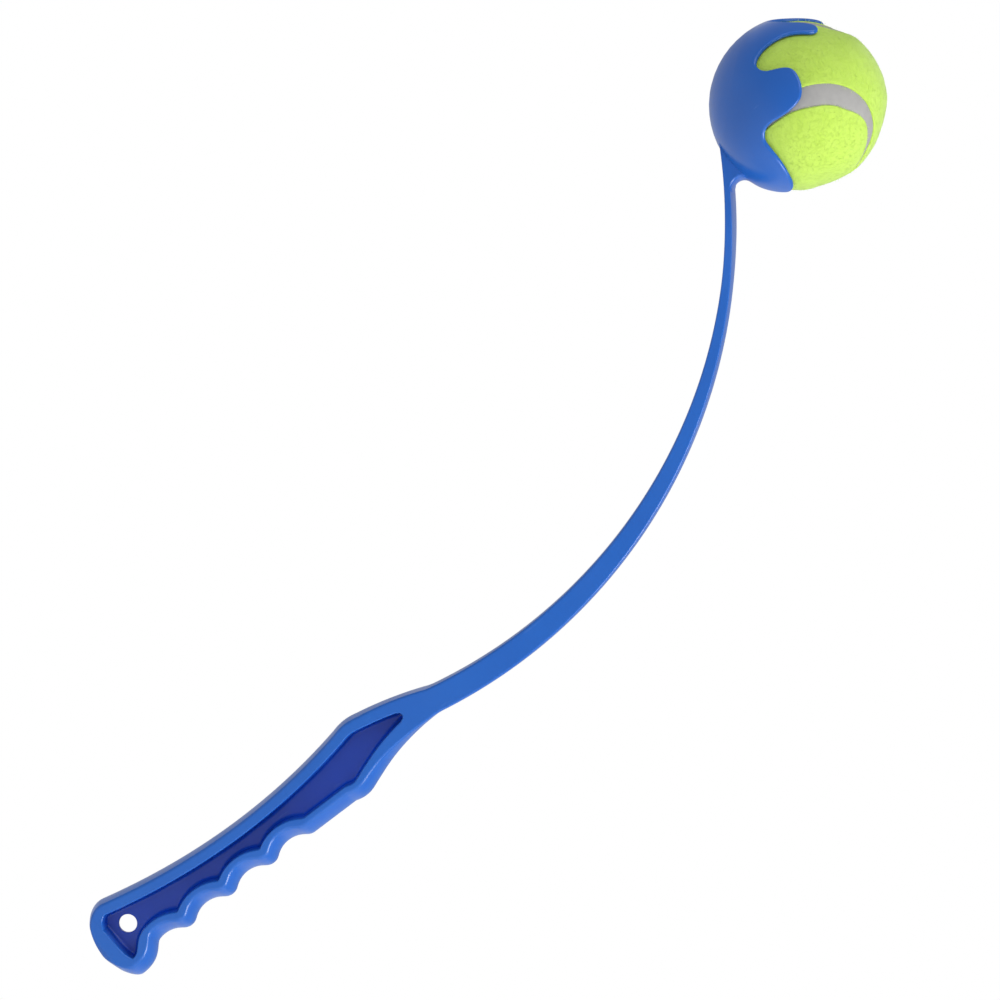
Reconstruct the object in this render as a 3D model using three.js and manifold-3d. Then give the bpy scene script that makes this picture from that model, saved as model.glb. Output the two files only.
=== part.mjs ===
// Dog ball thrower: a one-piece moulded wand with a six-fingered cup, and the tennis ball it throws.
// Millimetres, +Z up the handle, +X towards the fingers of the hand and the mouth of the cup.
// The origin is in the middle of the grip, on the wand's mid-plane.
import * as THREE from 'three';
import Module from 'manifold-3d';

const wasm = await Module();
wasm.setup();

// Driving dimensions of the ball
const ballRadius = 32;
const feltThickness = 2.4;
const coreWall = 3.2;
const seamWidth = 8.4;
const seamSink = 0.3;
const layerGap = 0.3;
const cementLine = 0.1;
const seamShapeShare = 0.785;
const feltMiddleReach = 84;
const ballTurn = new THREE.Euler(-0.6661, 0.8268, 1.9335);

// Driving dimensions of the cup
const cupClearance = 0.4;
const cupWall = 2;
const mouthTilt = 21.35;
const notchAngle = 60;
const fingerTipAngle = 97;
const cupColumns = 104;
const cupBaseShare = 0.7;
// Half of the crown's edge, from the notch opposite the shaft round to the notch above the shaft:
// the share of the half turn, and the share of the way from the deepest notch to the longest finger.
const crownEdgeShares = [
  [0, -0.02], [0.03, 0.01], [0.055, 0.09], [0.075, 0.18], [0.09, 0.285], [0.098, 0.39],
  [0.102, 0.5], [0.103, 0.62], [0.104, 0.74], [0.107, 0.84], [0.118, 0.91], [0.137, 0.937],
  [0.154, 0.9], [0.165, 0.81], [0.171, 0.69], [0.178, 0.57], [0.186, 0.465], [0.197, 0.372],
  [0.21, 0.284], [0.225, 0.2], [0.242, 0.124], [0.262, 0.056], [0.285, 0.002], [0.31, -0.034],
  [0.338, -0.022], [0.357, 0.08], [0.362, 0.195], [0.357, 0.305], [0.349, 0.41], [0.343, 0.515],
  [0.342, 0.618], [0.35, 0.71], [0.366, 0.785], [0.386, 0.85], [0.408, 0.895], [0.43, 0.915],
  [0.45, 0.905], [0.468, 0.868], [0.485, 0.815], [0.5, 0.755], [0.515, 0.685], [0.53, 0.608],
  [0.545, 0.525], [0.562, 0.45], [0.583, 0.4], [0.608, 0.387], [0.631, 0.42], [0.647, 0.492],
  [0.662, 0.572], [0.678, 0.65], [0.696, 0.728], [0.716, 0.798], [0.74, 0.866], [0.768, 0.926],
  [0.8, 0.98], [0.83, 1], [0.86, 0.99], [0.888, 0.935], [0.908, 0.81], [0.932, 0.61],
  [0.965, 0.42], [1, 0.35],
];
const capRingShares = [0.25, 0.6];
const cupOuterShares = [0, 0.27, 0.52, 0.76, 1];
const cupInnerShares = [1, 0.75, 0.5, 0.25, 0];

// Driving dimensions of the shaft
const leadInRadius = 137;
const rootLean = 13;
const bendRadius = 201.9;
const bendAngle = 75.65;
const rootThickness = 10.7;
const neckThickness = 2.6;
const rootWidth = 21;
const waistWidth = 16;
const neckWidth = 22;
const neckInset = 2.4;
const neckFillet = 4.3;
const flareSpan = 32;
const edgeRound = 1;
const shaftCrown = 0.4;
// Places across half of the wand's finger and palm sides, as shares of its half width
const acrossShares = [0.15, 0.45, 0.72];
const filletShares = [0, 0.17, 0.33, 0.5, 0.67, 0.83, 1];
const filletSliceShares = [-1, -0.6, -0.2, 0.2, 0.6, 1];

// Driving dimensions of the handle
const gripThickness = 22;
const buttHeight = -67.4;
const buttCentre = 2.2;
const buttRadius = 27.7;
const buttEdgeRound = 2.4;
const heelHeight = -58;
const heelReach = 15.5;
const heelRound = 5;
const kneeHeight = 60;
const kneeReach = 11.2;
const kneeRound = 5;
const palmHollow = 6.5;
const lobeHeight = -60.2;
const lobeReach = 17.2;
const grooveCount = 4;
const groovePitch = 19.8;
const firstGroove = -44.2;
const grooveRadius = 11;
const ridgeRadius = 4.7;
const crestReach = 14;
const crestRise = 1.65;
const stopHeight = 49.5;
const stopReach = 17.6;
const stopRound = 4.5;
const throatHeight = 68;
const throatReach = 10.6;
const shaftStart = 93;
const fingerSideCrown = 4.5;
const palmSideCrown = 1.5;
// Places along the rounded butt, from its end to the heel
const buttStationShares = [0.004, 0.02, 0.06, 0.13, 0.24, 0.4, 0.62, 0.85];
const buttOutlineShares = [0.2, 0.4, 0.6, 0.8, 1];

// Driving dimensions of the pockets and the hang hole
const fingerRim = 6.9;
const palmRim = 5.6;
const buttRim = 3.1;
const webThickness = 3;
const pocketDraft = 0.5;
const floorFillet = 1.5;
const buttDraftShare = 1.3;
const pocketCorner = 4.2;
const pocketTip = 80.4;
const pocketTipRadius = 1.4;
const hangHoleRadius = 3.5;
const hangHoleReach = -1.4;
const hangHoleHeight = -53.1;
const overrun = 2;

// Working values
const { clamp, degToRad: radians, lerp, smoothstep } = THREE.MathUtils;
const halfGrip = gripThickness / 2;
const cupInner = ballRadius + cupClearance;
const cupOuter = cupInner + cupWall;
const rootThicknessHalf = rootThickness / 2;
const curveSteps = 12;
const cornerSteps = 3;
const rimSteps = 12;
const pocketRows = 40;
const crownSteps = 1200;
const holeSides = 32;
const roomSides = 64;
const gripStep = groovePitch / 8;
const shaftStep = bendRadius / 18;
const wandBlue = { color: 0x2f62bd, roughness: 0.38, metalness: 0 };
const feltYellow = { color: 0xc8ee5c, roughness: 0.95, metalness: 0 };
const seamGrey = { color: 0xb4b4b2, roughness: 0.7, metalness: 0 };
const coreGrey = { color: 0x6f7270, roughness: 0.8, metalness: 0 };

// The spine runs straight up the handle, leans towards the fingers, then bends back to the cup.
const leadInEnd = kneeHeight + leadInRadius * radians(rootLean);
const rootPoint = new THREE.Vector2(
  leadInRadius * (1 - Math.cos(radians(rootLean))),
  kneeHeight + leadInRadius * Math.sin(radians(rootLean)),
);
const bendCentre = new THREE.Vector2(
  rootPoint.x - bendRadius * Math.cos(radians(rootLean)),
  rootPoint.y + bendRadius * Math.sin(radians(rootLean)),
);
const cupReach = bendRadius - neckThickness / 2 - neckInset + cupOuter;
const cupBearing = radians(bendAngle - rootLean);
const cupCentre = new THREE.Vector2(Math.cos(cupBearing), Math.sin(cupBearing))
  .multiplyScalar(cupReach)
  .add(bendCentre);
const spineEnd = leadInEnd + bendRadius * radians(bendAngle);

function spineAt(station) {
  if (station <= kneeHeight) {
    return { x: 0, z: station, lean: 0 };
  }
  if (station <= leadInEnd) {
    const lean = (station - kneeHeight) / leadInRadius;
    const x = leadInRadius * (1 - Math.cos(lean));
    return { x, z: kneeHeight + leadInRadius * Math.sin(lean), lean };
  }
  const lean = radians(rootLean) - (station - leadInEnd) / bendRadius;
  const x = bendCentre.x + bendRadius * Math.cos(lean);
  return { x, z: bendCentre.y - bendRadius * Math.sin(lean), lean };
}

// A point beside the spine: reach is towards the fingers, side is along Y.
function besideSpine(station, reach, side) {
  const spine = spineAt(station);
  const x = spine.x + reach * Math.cos(spine.lean);
  return new THREE.Vector3(x, side, spine.z - reach * Math.sin(spine.lean));
}

// Builds a closed solid through rings of equal length, with a flat cap on each end.
function loft(rings, capFaces) {
  const count = rings[0].length;
  const positions = rings.flat().flatMap((point) => [point.x, point.y, point.z]);
  const indices = [];
  for (let ring = 0; ring + 1 < rings.length; ring += 1) {
    for (let j = 0; j < count; j += 1) {
      const a = ring * count + j;
      const b = ring * count + ((j + 1) % count);
      indices.push(a, b, a + count, b, b + count, a + count);
    }
  }
  for (const [a, b, c] of capFaces(rings[0])) {
    indices.push(c, b, a);
  }
  const last = (rings.length - 1) * count;
  for (const [a, b, c] of capFaces(rings.at(-1))) {
    indices.push(last + a, last + b, last + c);
  }
  return facingOut(positions, indices);
}

// A cap for a ring whose second half runs back beside its first: rungs join the two halves.
function ladderCap(ring) {
  const faces = [];
  for (let j = 0; j + 1 < ring.length / 2; j += 1) {
    const across = ring.length - 1 - j;
    faces.push([j, j + 1, across]);
    if (j + 1 < across - 1) {
      faces.push([j + 1, across - 1, across]);
    }
  }
  return faces;
}

// A cap for a ring drawn in an XZ plane.
function outlineCap(ring) {
  const flat = ring.map((point) => new THREE.Vector2(point.x, point.z));
  const turn = Math.sign(THREE.ShapeUtils.area(flat));
  return THREE.ShapeUtils.triangulateShape(flat, []).map((face) => {
    const corners = face.map((index) => flat[index]);
    return Math.sign(THREE.ShapeUtils.area(corners)) === turn ? face : face.reverse();
  });
}

// Builds a closed solid through rings of equal length that close on a point at each end.
function loftBetweenPoles(firstPole, rings, lastPole) {
  const count = rings[0].length;
  const points = [firstPole, ...rings.flat(), lastPole];
  const indices = [];
  for (let j = 0; j < count; j += 1) {
    const next = (j + 1) % count;
    indices.push(0, 1 + next, 1 + j);
    for (let ring = 0; ring + 1 < rings.length; ring += 1) {
      const a = 1 + ring * count + j;
      const b = 1 + ring * count + next;
      indices.push(a, b, a + count, b, b + count, a + count);
    }
    const last = 1 + (rings.length - 1) * count;
    indices.push(last + j, last + next, points.length - 1);
  }
  return facingOut(points.flatMap((point) => [point.x, point.y, point.z]), indices);
}

// Turns the faces round if the solid came out inside out.
function facingOut(positions, indices) {
  const corner = (index) => new THREE.Vector3().fromArray(positions, index * 3);
  let volume = 0;
  for (let i = 0; i < indices.length; i += 3) {
    const [a, b, c] = [corner(indices[i]), corner(indices[i + 1]), corner(indices[i + 2])];
    volume += a.dot(b.cross(c));
  }
  if (volume < 0) {
    indices.reverse();
  }
  const geometry = new THREE.BufferGeometry();
  geometry.setAttribute('position', new THREE.Float32BufferAttribute(positions, 3));
  geometry.setIndex(indices);
  geometry.computeVertexNormals();
  return geometry;
}

function toSolid(geometry) {
  const mesh = new wasm.Mesh({
    numProp: 3,
    vertProperties: new Float32Array(geometry.attributes.position.array),
    triVerts: new Uint32Array(geometry.index.array),
  });
  return new wasm.Manifold(mesh);
}

function toGeometry(solid) {
  const mesh = solid.getMesh();
  const geometry = new THREE.BufferGeometry();
  geometry.setAttribute('position', new THREE.Float32BufferAttribute(mesh.vertProperties, 3));
  geometry.setIndex([...mesh.triVerts]);
  geometry.computeVertexNormals();
  return geometry;
}

// Reads a drawn edge as a height over its run.
function edgeReader(path) {
  const points = path.getPoints(curveSteps);
  return (station) => {
    const next = Math.max(1, points.findIndex((point) => point.x >= station));
    const [a, b] = station > points.at(-1).x ? points.slice(-2) : [points[next - 1], points[next]];
    return b.x === a.x ? b.y : a.y + ((b.y - a.y) * (station - a.x)) / (b.x - a.x);
  };
}

// How far the finger side lies below the crest line at a distance from a groove's centre.
const bothRadii = grooveRadius + ridgeRadius;
const ridgeDrop = Math.sqrt(bothRadii ** 2 - (groovePitch / 2) ** 2);
const grooveDepth = bothRadii - ridgeDrop;

function belowCrest(distance) {
  const turnOver = ((groovePitch / 2) * grooveRadius) / bothRadii;
  if (distance <= turnOver) {
    return grooveDepth - grooveRadius + Math.sqrt(grooveRadius ** 2 - distance ** 2);
  }
  return ridgeRadius - Math.sqrt(ridgeRadius ** 2 - (groovePitch / 2 - distance) ** 2);
}

const grooveSpan = grooveCount * groovePitch;
const crestAt = (station) => crestReach + (crestRise * (station - firstGroove)) / grooveSpan;

function groovedReach(station) {
  const steps = Math.round((station - firstGroove) / groovePitch);
  const groove = Math.min(grooveCount - 1, Math.max(0, steps));
  const distance = Math.abs(station - firstGroove - groove * groovePitch);
  return crestAt(station) - belowCrest(Math.min(distance, groovePitch / 2));
}

// The palm side, from the middle of the butt, round the heel, along the hollow and over the knee.
const heelOnButt = buttCentre + heelReach - heelRound;
const buttRise = (reach) => buttHeight + buttRadius - Math.sqrt(buttRadius ** 2 - reach ** 2);
const palmEdge = new THREE.Path();
palmEdge.moveTo(buttHeight, -buttCentre);
for (const share of buttOutlineShares) {
  palmEdge.lineTo(buttRise(share * heelOnButt), share * heelOnButt - buttCentre);
}
palmEdge.quadraticCurveTo(
  heelHeight - heelRound / 2,
  heelReach,
  heelHeight + heelRound / 2,
  heelReach - heelRound / 8,
);
palmEdge.quadraticCurveTo(
  (heelHeight + kneeHeight) / 2,
  (heelReach + kneeReach) / 2 - 2 * palmHollow,
  kneeHeight - kneeRound,
  kneeReach - kneeRound / 6,
);
palmEdge.quadraticCurveTo(
  kneeHeight,
  kneeReach + kneeRound / 10,
  kneeHeight + kneeRound,
  kneeReach - kneeRound / 6,
);
palmEdge.lineTo(shaftStart, rootThicknessHalf);

// The finger side, from the middle of the butt, round the lobe, over the grooves and the finger
// stop, and down to the throat.
const lobeOnButt = lobeReach - buttCentre - heelRound;
const lobeFoot = firstGroove - grooveRadius / 3;
const fingerEdge = new THREE.Path();
fingerEdge.moveTo(buttHeight, buttCentre);
for (const share of buttOutlineShares) {
  fingerEdge.lineTo(buttRise(share * lobeOnButt), buttCentre + share * lobeOnButt);
}
fingerEdge.quadraticCurveTo(lobeHeight - heelRound / 2, lobeReach, lobeHeight, lobeReach);
fingerEdge.bezierCurveTo(
  (lobeHeight + 2 * lobeFoot) / 3,
  lobeReach,
  (lobeHeight + 4 * lobeFoot) / 5,
  groovedReach(lobeFoot) + grooveDepth / 2,
  lobeFoot,
  groovedReach(lobeFoot),
);
const grooveSteps = 10 * grooveCount;
const grooveEnd = firstGroove + (grooveCount - 0.5) * groovePitch;
for (let step = 0; step <= grooveSteps; step += 1) {
  const station = lerp(lobeFoot, grooveEnd, step / grooveSteps);
  fingerEdge.lineTo(station, groovedReach(station));
}
fingerEdge.lineTo(stopHeight - stopRound, crestAt(stopHeight - stopRound));
fingerEdge.quadraticCurveTo(
  stopHeight,
  stopReach,
  stopHeight + stopRound,
  lerp(stopReach, throatReach, stopRound / (throatHeight - stopHeight)),
);
fingerEdge.quadraticCurveTo(throatHeight, throatReach, shaftStart, rootThicknessHalf);

const palmReader = edgeReader(palmEdge);
const fingerReader = edgeReader(fingerEdge);

// The shaft's taper from its root to the neck, as a share of its length.
function shaftHalfThickness(station) {
  const share = clamp((station - shaftStart) / (spineEnd - shaftStart), 0, 1);
  const eased = (share + smoothstep(share, 0, 1)) / 2;
  return lerp(rootThickness, neckThickness, eased) / 2;
}

function palmReach(station) {
  return station < shaftStart ? palmReader(station) : shaftHalfThickness(station);
}

function fingerReach(station) {
  return station < shaftStart ? fingerReader(station) : shaftHalfThickness(station);
}

const flareEnd = spineEnd - cupOuter;

function halfWidth(station) {
  const handle = lerp(gripThickness, rootWidth, smoothstep(station, stopHeight, shaftStart));
  const waist = smoothstep(station, shaftStart, (shaftStart + spineEnd) / 2);
  const flare = smoothstep(station, flareEnd - flareSpan, flareEnd);
  const width = lerp(lerp(handle, waistWidth, waist), neckWidth, flare);
  const depth = Math.min(station - buttHeight, buttEdgeRound);
  const rounding = buttEdgeRound - Math.sqrt(buttEdgeRound ** 2 - (buttEdgeRound - depth) ** 2);
  return width / 2 - rounding;
}

// How far the middle of a side stands out past its edges.
function sideCrown(station, gripCrown) {
  const onShaft = smoothstep(station, stopHeight, shaftStart);
  const span = palmReach(station) + fingerReach(station);
  return Math.min(lerp(gripCrown, shaftCrown, onShaft), span / 4);
}

// Half of a section, from the middle of the finger side to the middle of the palm side.
function halfSection(station) {
  const width = halfWidth(station);
  const front = fingerReach(station);
  const back = palmReach(station);
  const frontCrown = sideCrown(station, fingerSideCrown);
  const backCrown = sideCrown(station, palmSideCrown);
  const round = Math.min(edgeRound, (front + back) / 8);
  const frontEdge = new THREE.Vector2(front - frontCrown, width);
  const backEdge = new THREE.Vector2(backCrown - back, width);
  const cornerStart = 1 - round / width;
  const onFront = (share) => new THREE.Vector2(front - frontCrown * share ** 2, width * share);
  const onBack = (share) => new THREE.Vector2(backCrown * share ** 2 - back, width * share);
  const belowFront = frontEdge.clone().setX(frontEdge.x - round);
  const aboveBack = backEdge.clone().setX(backEdge.x + round);
  return [
    ...acrossShares.map(onFront),
    ...roundedCorner(onFront(cornerStart), frontEdge, belowFront),
    ...roundedCorner(aboveBack, backEdge, onBack(cornerStart)),
    ...acrossShares.toReversed().map(onBack),
  ];
}

function roundedCorner(start, corner, end) {
  return new THREE.QuadraticBezierCurve(start, corner, end).getPoints(cornerSteps);
}

function sectionRing(station) {
  const half = halfSection(station);
  const mirrored = half.map(({ x, y }) => new THREE.Vector2(x, -y)).reverse();
  return [...half, ...mirrored].map(({ x, y }) => besideSpine(station, x, y));
}

// Stations along the wand: close at the butt and the grooves, wider along the shaft.
function wandStations() {
  const stations = buttStationShares.map((share) => lerp(buttHeight, heelHeight, share));
  for (let station = heelHeight; station < stopHeight - stopRound; station += gripStep) {
    stations.push(station);
  }
  for (const turn of [-1, -0.5, 0, 0.5, 1]) {
    stations.push(stopHeight + stopRound * turn);
  }
  for (const turn of [-1, 0, 1]) {
    stations.push(kneeHeight + kneeRound * turn);
  }
  const shaftFrom = kneeHeight + kneeRound + shaftStep;
  for (let station = shaftFrom; station < spineEnd; station += shaftStep) {
    stations.push(station);
  }
  stations.push(spineEnd);
  return stations.filter((station, i) => i === 0 || station > stations[i - 1]);
}

// The inner offset of a side's edge by a rim's width, with its cusps trimmed.
function insetEdge(reachAt, rim) {
  return (station) => {
    let least = Infinity;
    for (let step = -rimSteps; step <= rimSteps; step += 1) {
      const along = (step / rimSteps) * rim;
      least = Math.min(least, reachAt(station + along) - Math.sqrt(rim ** 2 - along ** 2));
    }
    return least;
  };
}

function softLeast(a, b, blend) {
  const share = Math.max(blend - Math.abs(a - b), 0) / blend;
  return Math.min(a, b) - (share ** 2 * blend) / 4;
}

// One ring of a pocket's wall: the finger side upwards, then the palm side downwards.
function pocketRing(inset, side) {
  const fingerInset = insetEdge(fingerReach, fingerRim + inset);
  const palmInset = insetEdge(palmReach, palmRim + inset);
  const buttCurve = buttRadius - buttRim - inset * buttDraftShare;
  const bottom = buttHeight + buttRim + inset * buttDraftShare;
  const top = pocketTip - inset;
  const tipRadius = Math.max(pocketTipRadius - inset / 3, pocketTipRadius / 4);
  const finger = [];
  const palm = [];
  for (let row = 0; row <= pocketRows; row += 1) {
    const share = row / pocketRows;
    const eased = (share + (1 - Math.cos(Math.PI * share)) / 2) / 2;
    const station = lerp(bottom + buttRim / 200, top, eased);
    const fromCentre = Math.min(buttHeight + buttRadius - station, buttCurve);
    const chord = fromCentre > 0 ? Math.sqrt(buttCurve ** 2 - fromCentre ** 2) : buttCurve;
    const right = softLeast(fingerInset(station), buttCentre + chord, pocketCorner);
    const left = softLeast(palmInset(station), chord - buttCentre, pocketCorner);
    const middle = (right - left) / 2;
    const fromTip = Math.min(top - station, tipRadius);
    const tipHalf = Math.sqrt(tipRadius ** 2 - (tipRadius - fromTip) ** 2) + tipRadius / 20;
    const open = Math.max((right + left) / 2, tipRadius / 2);
    const half = fromTip < tipRadius ? Math.min(open, tipHalf) : open;
    finger.push(besideSpine(station, middle + half, side));
    palm.push(besideSpine(station, middle - half, side));
  }
  return [...finger, ...palm.reverse()];
}

// A pocket from above the rim down to the web, with drafted walls and a filleted floor.
function pocketCutter(sign) {
  const floor = webThickness / 2;
  const depth = halfGrip - floor;
  const rings = [pocketRing(-pocketDraft * (overrun / depth), sign * (halfGrip + overrun))];
  for (const turn of [0, 30, 60, 90]) {
    const inset = pocketDraft + floorFillet * (1 - Math.cos(radians(turn)));
    const rise = floorFillet * (1 - Math.sin(radians(turn)));
    rings.push(pocketRing(inset, sign * (floor + rise)));
  }
  return toSolid(loft(rings, ladderCap));
}

function hangHoleCutter() {
  const pin = new THREE.CylinderGeometry(hangHoleRadius, hangHoleRadius, gripThickness, holeSides);
  pin.translate(hangHoleReach, 0, hangHoleHeight);
  return toSolid(welded(pin));
}

// Joins the vertices that share a place, so that the surface is closed.
function welded(geometry) {
  const places = new Map();
  const positions = [];
  const source = geometry.attributes.position;
  const lookup = [];
  for (let i = 0; i < source.count; i += 1) {
    const place = new THREE.Vector3().fromBufferAttribute(source, i).toArray();
    const key = place.map((value) => value.toFixed(5)).join();
    if (!places.has(key)) {
      places.set(key, positions.length / 3);
      positions.push(...place);
    }
    lookup.push(places.get(key));
  }
  const indices = [];
  for (let i = 0; i < geometry.index.count; i += 3) {
    const face = [0, 1, 2].map((k) => lookup[geometry.index.getX(i + k)]);
    if (new Set(face).size === 3) {
      indices.push(...face);
    }
  }
  return facingOut(positions, indices);
}

// The head's own frame: its Z axis leaves through the mouth and its X axis points away from the grip.
const mouthBearing = cupBearing - radians(mouthTilt);
const mouthAxis = new THREE.Vector3(Math.cos(mouthBearing), 0, Math.sin(mouthBearing));
const awayAxis = new THREE.Vector3(-Math.sin(mouthBearing), 0, Math.cos(mouthBearing));
const headFrame = new THREE.Matrix4().makeBasis(awayAxis, new THREE.Vector3(0, -1, 0), mouthAxis);
headFrame.setPosition(cupCentre.x, 0, cupCentre.y);

// A direction from the cup's centre: polar is measured from the back of the cup.
function towards(polar, turn) {
  const across = Math.sin(polar);
  return new THREE.Vector3(across * Math.cos(turn), across * Math.sin(turn), -Math.cos(polar));
}

function crownEdge() {
  const half = crownEdgeShares.map(([turnShare, reachShare]) => [
    Math.PI * turnShare,
    radians(lerp(notchAngle, fingerTipAngle, reachShare)),
  ]);
  const mirrored = half.slice(1, -1).reverse().map(([turn, polar]) => [-turn, polar]);
  const points = [...half, ...mirrored].map(([turn, polar]) => towards(polar, turn));
  const curve = new THREE.CatmullRomCurve3(points, true, 'centripetal');
  curve.arcLengthDivisions = crownSteps;
  const spaced = curve.getSpacedPoints(cupColumns);
  return spaced.slice(0, cupColumns).map((point) => point.normalize());
}

// The cup: a spherical wall that ends in the crown's edge with a half-round rim.
function cupSolid() {
  const edge = crownEdge();
  const rim = cupWall / 2;
  const middle = cupInner + rim;
  const baseAngle = radians(notchAngle) * cupBaseShare;
  const columns = edge.map((tip, k) => {
    const before = edge[(k + cupColumns - 1) % cupColumns];
    const tangent = edge[(k + 1) % cupColumns].clone().sub(before);
    const outwards = new THREE.Vector3().crossVectors(tip, tangent).normalize();
    const foot = tip.clone().addScaledVector(outwards, -rim / middle).normalize();
    const baseTurn = (2 * Math.PI * k) / cupColumns;
    let footTurn = Math.atan2(foot.y, foot.x);
    footTurn += 2 * Math.PI * Math.round((baseTurn - footTurn) / (2 * Math.PI));
    return { outwards, foot, baseTurn, footTurn, footPolar: Math.acos(-foot.z) };
  });
  const wallRing = (share, radius) => columns.map((column) => {
    const polar = lerp(baseAngle, column.footPolar, share);
    const turn = lerp(column.baseTurn, column.footTurn, share);
    return towards(polar, turn).multiplyScalar(radius);
  });
  const capRing = (share, radius) => columns.map(({ baseTurn }) => {
    return towards(baseAngle * share, baseTurn).multiplyScalar(radius);
  });
  const rimRing = (turn) => columns.map(({ foot, outwards }) => {
    const lifted = foot.clone().multiplyScalar(middle + rim * Math.cos(turn));
    return lifted.addScaledVector(outwards, rim * Math.sin(turn));
  });
  const rings = [
    ...capRingShares.map((share) => capRing(share, cupOuter)),
    ...cupOuterShares.map((share) => wallRing(share, cupOuter)),
    ...[45, 90, 135].map((turn) => rimRing(radians(turn))),
    ...cupInnerShares.map((share) => wallRing(share, cupInner)),
    ...capRingShares.toReversed().map((share) => capRing(share, cupInner)),
  ];
  const outerPole = new THREE.Vector3(0, 0, -cupOuter);
  const innerPole = new THREE.Vector3(0, 0, -cupInner);
  return toSolid(loftBetweenPoles(outerPole, rings, innerPole).applyMatrix4(headFrame));
}

// The concave fillet between the shaft's finger side and the cup, slice by slice across the neck.
function neckFilletSolid() {
  const shaftFace = bendRadius + shaftHalfThickness(flareEnd);
  const slices = [];
  const straight = neckWidth / 2 - edgeRound;
  for (const share of filletSliceShares) {
    slices.push(filletSlice(share * straight, shaftFace, 0));
  }
  for (const turn of [35, 65, 90]) {
    const side = straight + edgeRound * Math.sin(radians(turn));
    const recess = edgeRound * (1 - Math.cos(radians(turn)));
    slices.push(filletSlice(side, shaftFace, recess));
    slices.unshift(filletSlice(-side, shaftFace, recess));
  }
  return toSolid(loft(slices, outlineCap));
}

function around(centre, radius, angle) {
  return new THREE.Vector2(Math.cos(angle), Math.sin(angle)).multiplyScalar(radius).add(centre);
}

function filletSlice(side, shaftFace, recess) {
  const toFillet = shaftFace + neckFillet;
  const cupToFillet = Math.sqrt(cupOuter ** 2 - side ** 2) + neckFillet;
  const squares = cupReach ** 2 + toFillet ** 2 - cupToFillet ** 2;
  const bearing = cupBearing - Math.acos(squares / (2 * cupReach * toFillet));
  const centre = around(bendCentre, toFillet, bearing);
  const start = bendCentre.clone().sub(centre).angle();
  const end = cupCentre.clone().sub(centre).angle();
  const outline = filletShares.map((share) => {
    return around(centre, neckFillet + recess, lerp(start, end, share));
  });
  const inwards = cupCentre.clone().sub(outline.at(-1)).setLength(cupWall);
  outline.push(outline.at(-1).clone().add(inwards));
  outline.push(around(bendCentre, bendRadius, cupBearing - cupWall / bendRadius));
  outline.push(around(bendCentre, bendRadius, bearing));
  return outline.map((point) => new THREE.Vector3(point.x, side, point.y));
}

function throwerGeometry() {
  const wand = toSolid(loft(wandStations().map(sectionRing), ladderCap));
  const pocketed = wand.subtract(pocketCutter(1)).subtract(pocketCutter(-1));
  const holed = pocketed.subtract(hangHoleCutter());
  const hollow = new THREE.SphereGeometry(cupInner + cupWall / 2, roomSides, roomSides / 2);
  hollow.translate(cupCentre.x, 0, cupCentre.y);
  const neck = holed.add(neckFilletSolid()).subtract(toSolid(welded(hollow)));
  return toGeometry(neck.add(cupSolid()));
}

// The closed curve of a tennis ball's seam, as a direction.
function seamDirection(turn) {
  const waist = 1 - seamShapeShare;
  return new THREE.Vector3(
    seamShapeShare * Math.cos(turn) + waist * Math.cos(3 * turn),
    seamShapeShare * Math.sin(turn) - waist * Math.sin(3 * turn),
    2 * Math.sqrt(seamShapeShare * waist) * Math.sin(2 * turn),
  );
}

// A direction beside the seam: offset is the distance on the ball's surface, towards panel a.
function besideSeam(turn, offset) {
  const step = 0.001;
  const tangent = seamDirection(turn + step).sub(seamDirection(turn - step));
  const here = seamDirection(turn);
  const towardsPanel = new THREE.Vector3().crossVectors(here, tangent).normalize();
  return here.addScaledVector(towardsPanel, Math.tan(offset / ballRadius)).normalize();
}

const seamSteps = 56;
const feltRowShares = [0, 0.12, 0.3, 0.52, 0.76];
const bandOuterShares = [-1, -0.33, 0.33, 1];
const bandInnerShares = [1, 0, -1];
const coreRows = 6;
const coreColumns = 20;
const feltInner = ballRadius - feltThickness;
const coreOuter = feltInner - layerGap;
const coreInner = coreOuter - coreWall;
const seamTurns = Array.from({ length: seamSteps }, (none, step) => {
  return (2 * Math.PI * (step + 0.5)) / seamSteps;
});

// The line along a panel's middle, on which its rows close.
function feltMiddle(turn) {
  const along = radians(feltMiddleReach) * Math.sin(turn - Math.PI / 4);
  const heading = (3 * Math.PI) / 4;
  const across = Math.sin(along);
  return new THREE.Vector3(across * Math.cos(heading), across * Math.sin(heading), Math.cos(along));
}

// A felt panel: rows from its edge to a line along its middle.
function feltPanelGeometry() {
  const ringAt = (share, radius) => seamTurns.map((turn) => {
    const edge = besideSeam(turn, seamWidth / 2 + layerGap);
    return edge.lerp(feltMiddle(turn), share).normalize().multiplyScalar(radius);
  });
  const rings = [
    ...feltRowShares.toReversed().map((share) => ringAt(share, ballRadius)),
    ...feltRowShares.map((share) => ringAt(share, feltInner)),
  ];
  const positions = [];
  const indices = [];
  rings.flat().forEach((point) => positions.push(point.x, point.y, point.z));
  for (let ring = 0; ring + 1 < rings.length; ring += 1) {
    for (let j = 0; j < seamSteps; j += 1) {
      const a = ring * seamSteps + j;
      const b = ring * seamSteps + ((j + 1) % seamSteps);
      indices.push(a, b, a + seamSteps, b, b + seamSteps, a + seamSteps);
    }
  }
  closeOnMiddle(positions, indices, 0, ballRadius, true);
  closeOnMiddle(positions, indices, (rings.length - 1) * seamSteps, feltInner, false);
  return facingOut(positions, indices);
}

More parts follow.
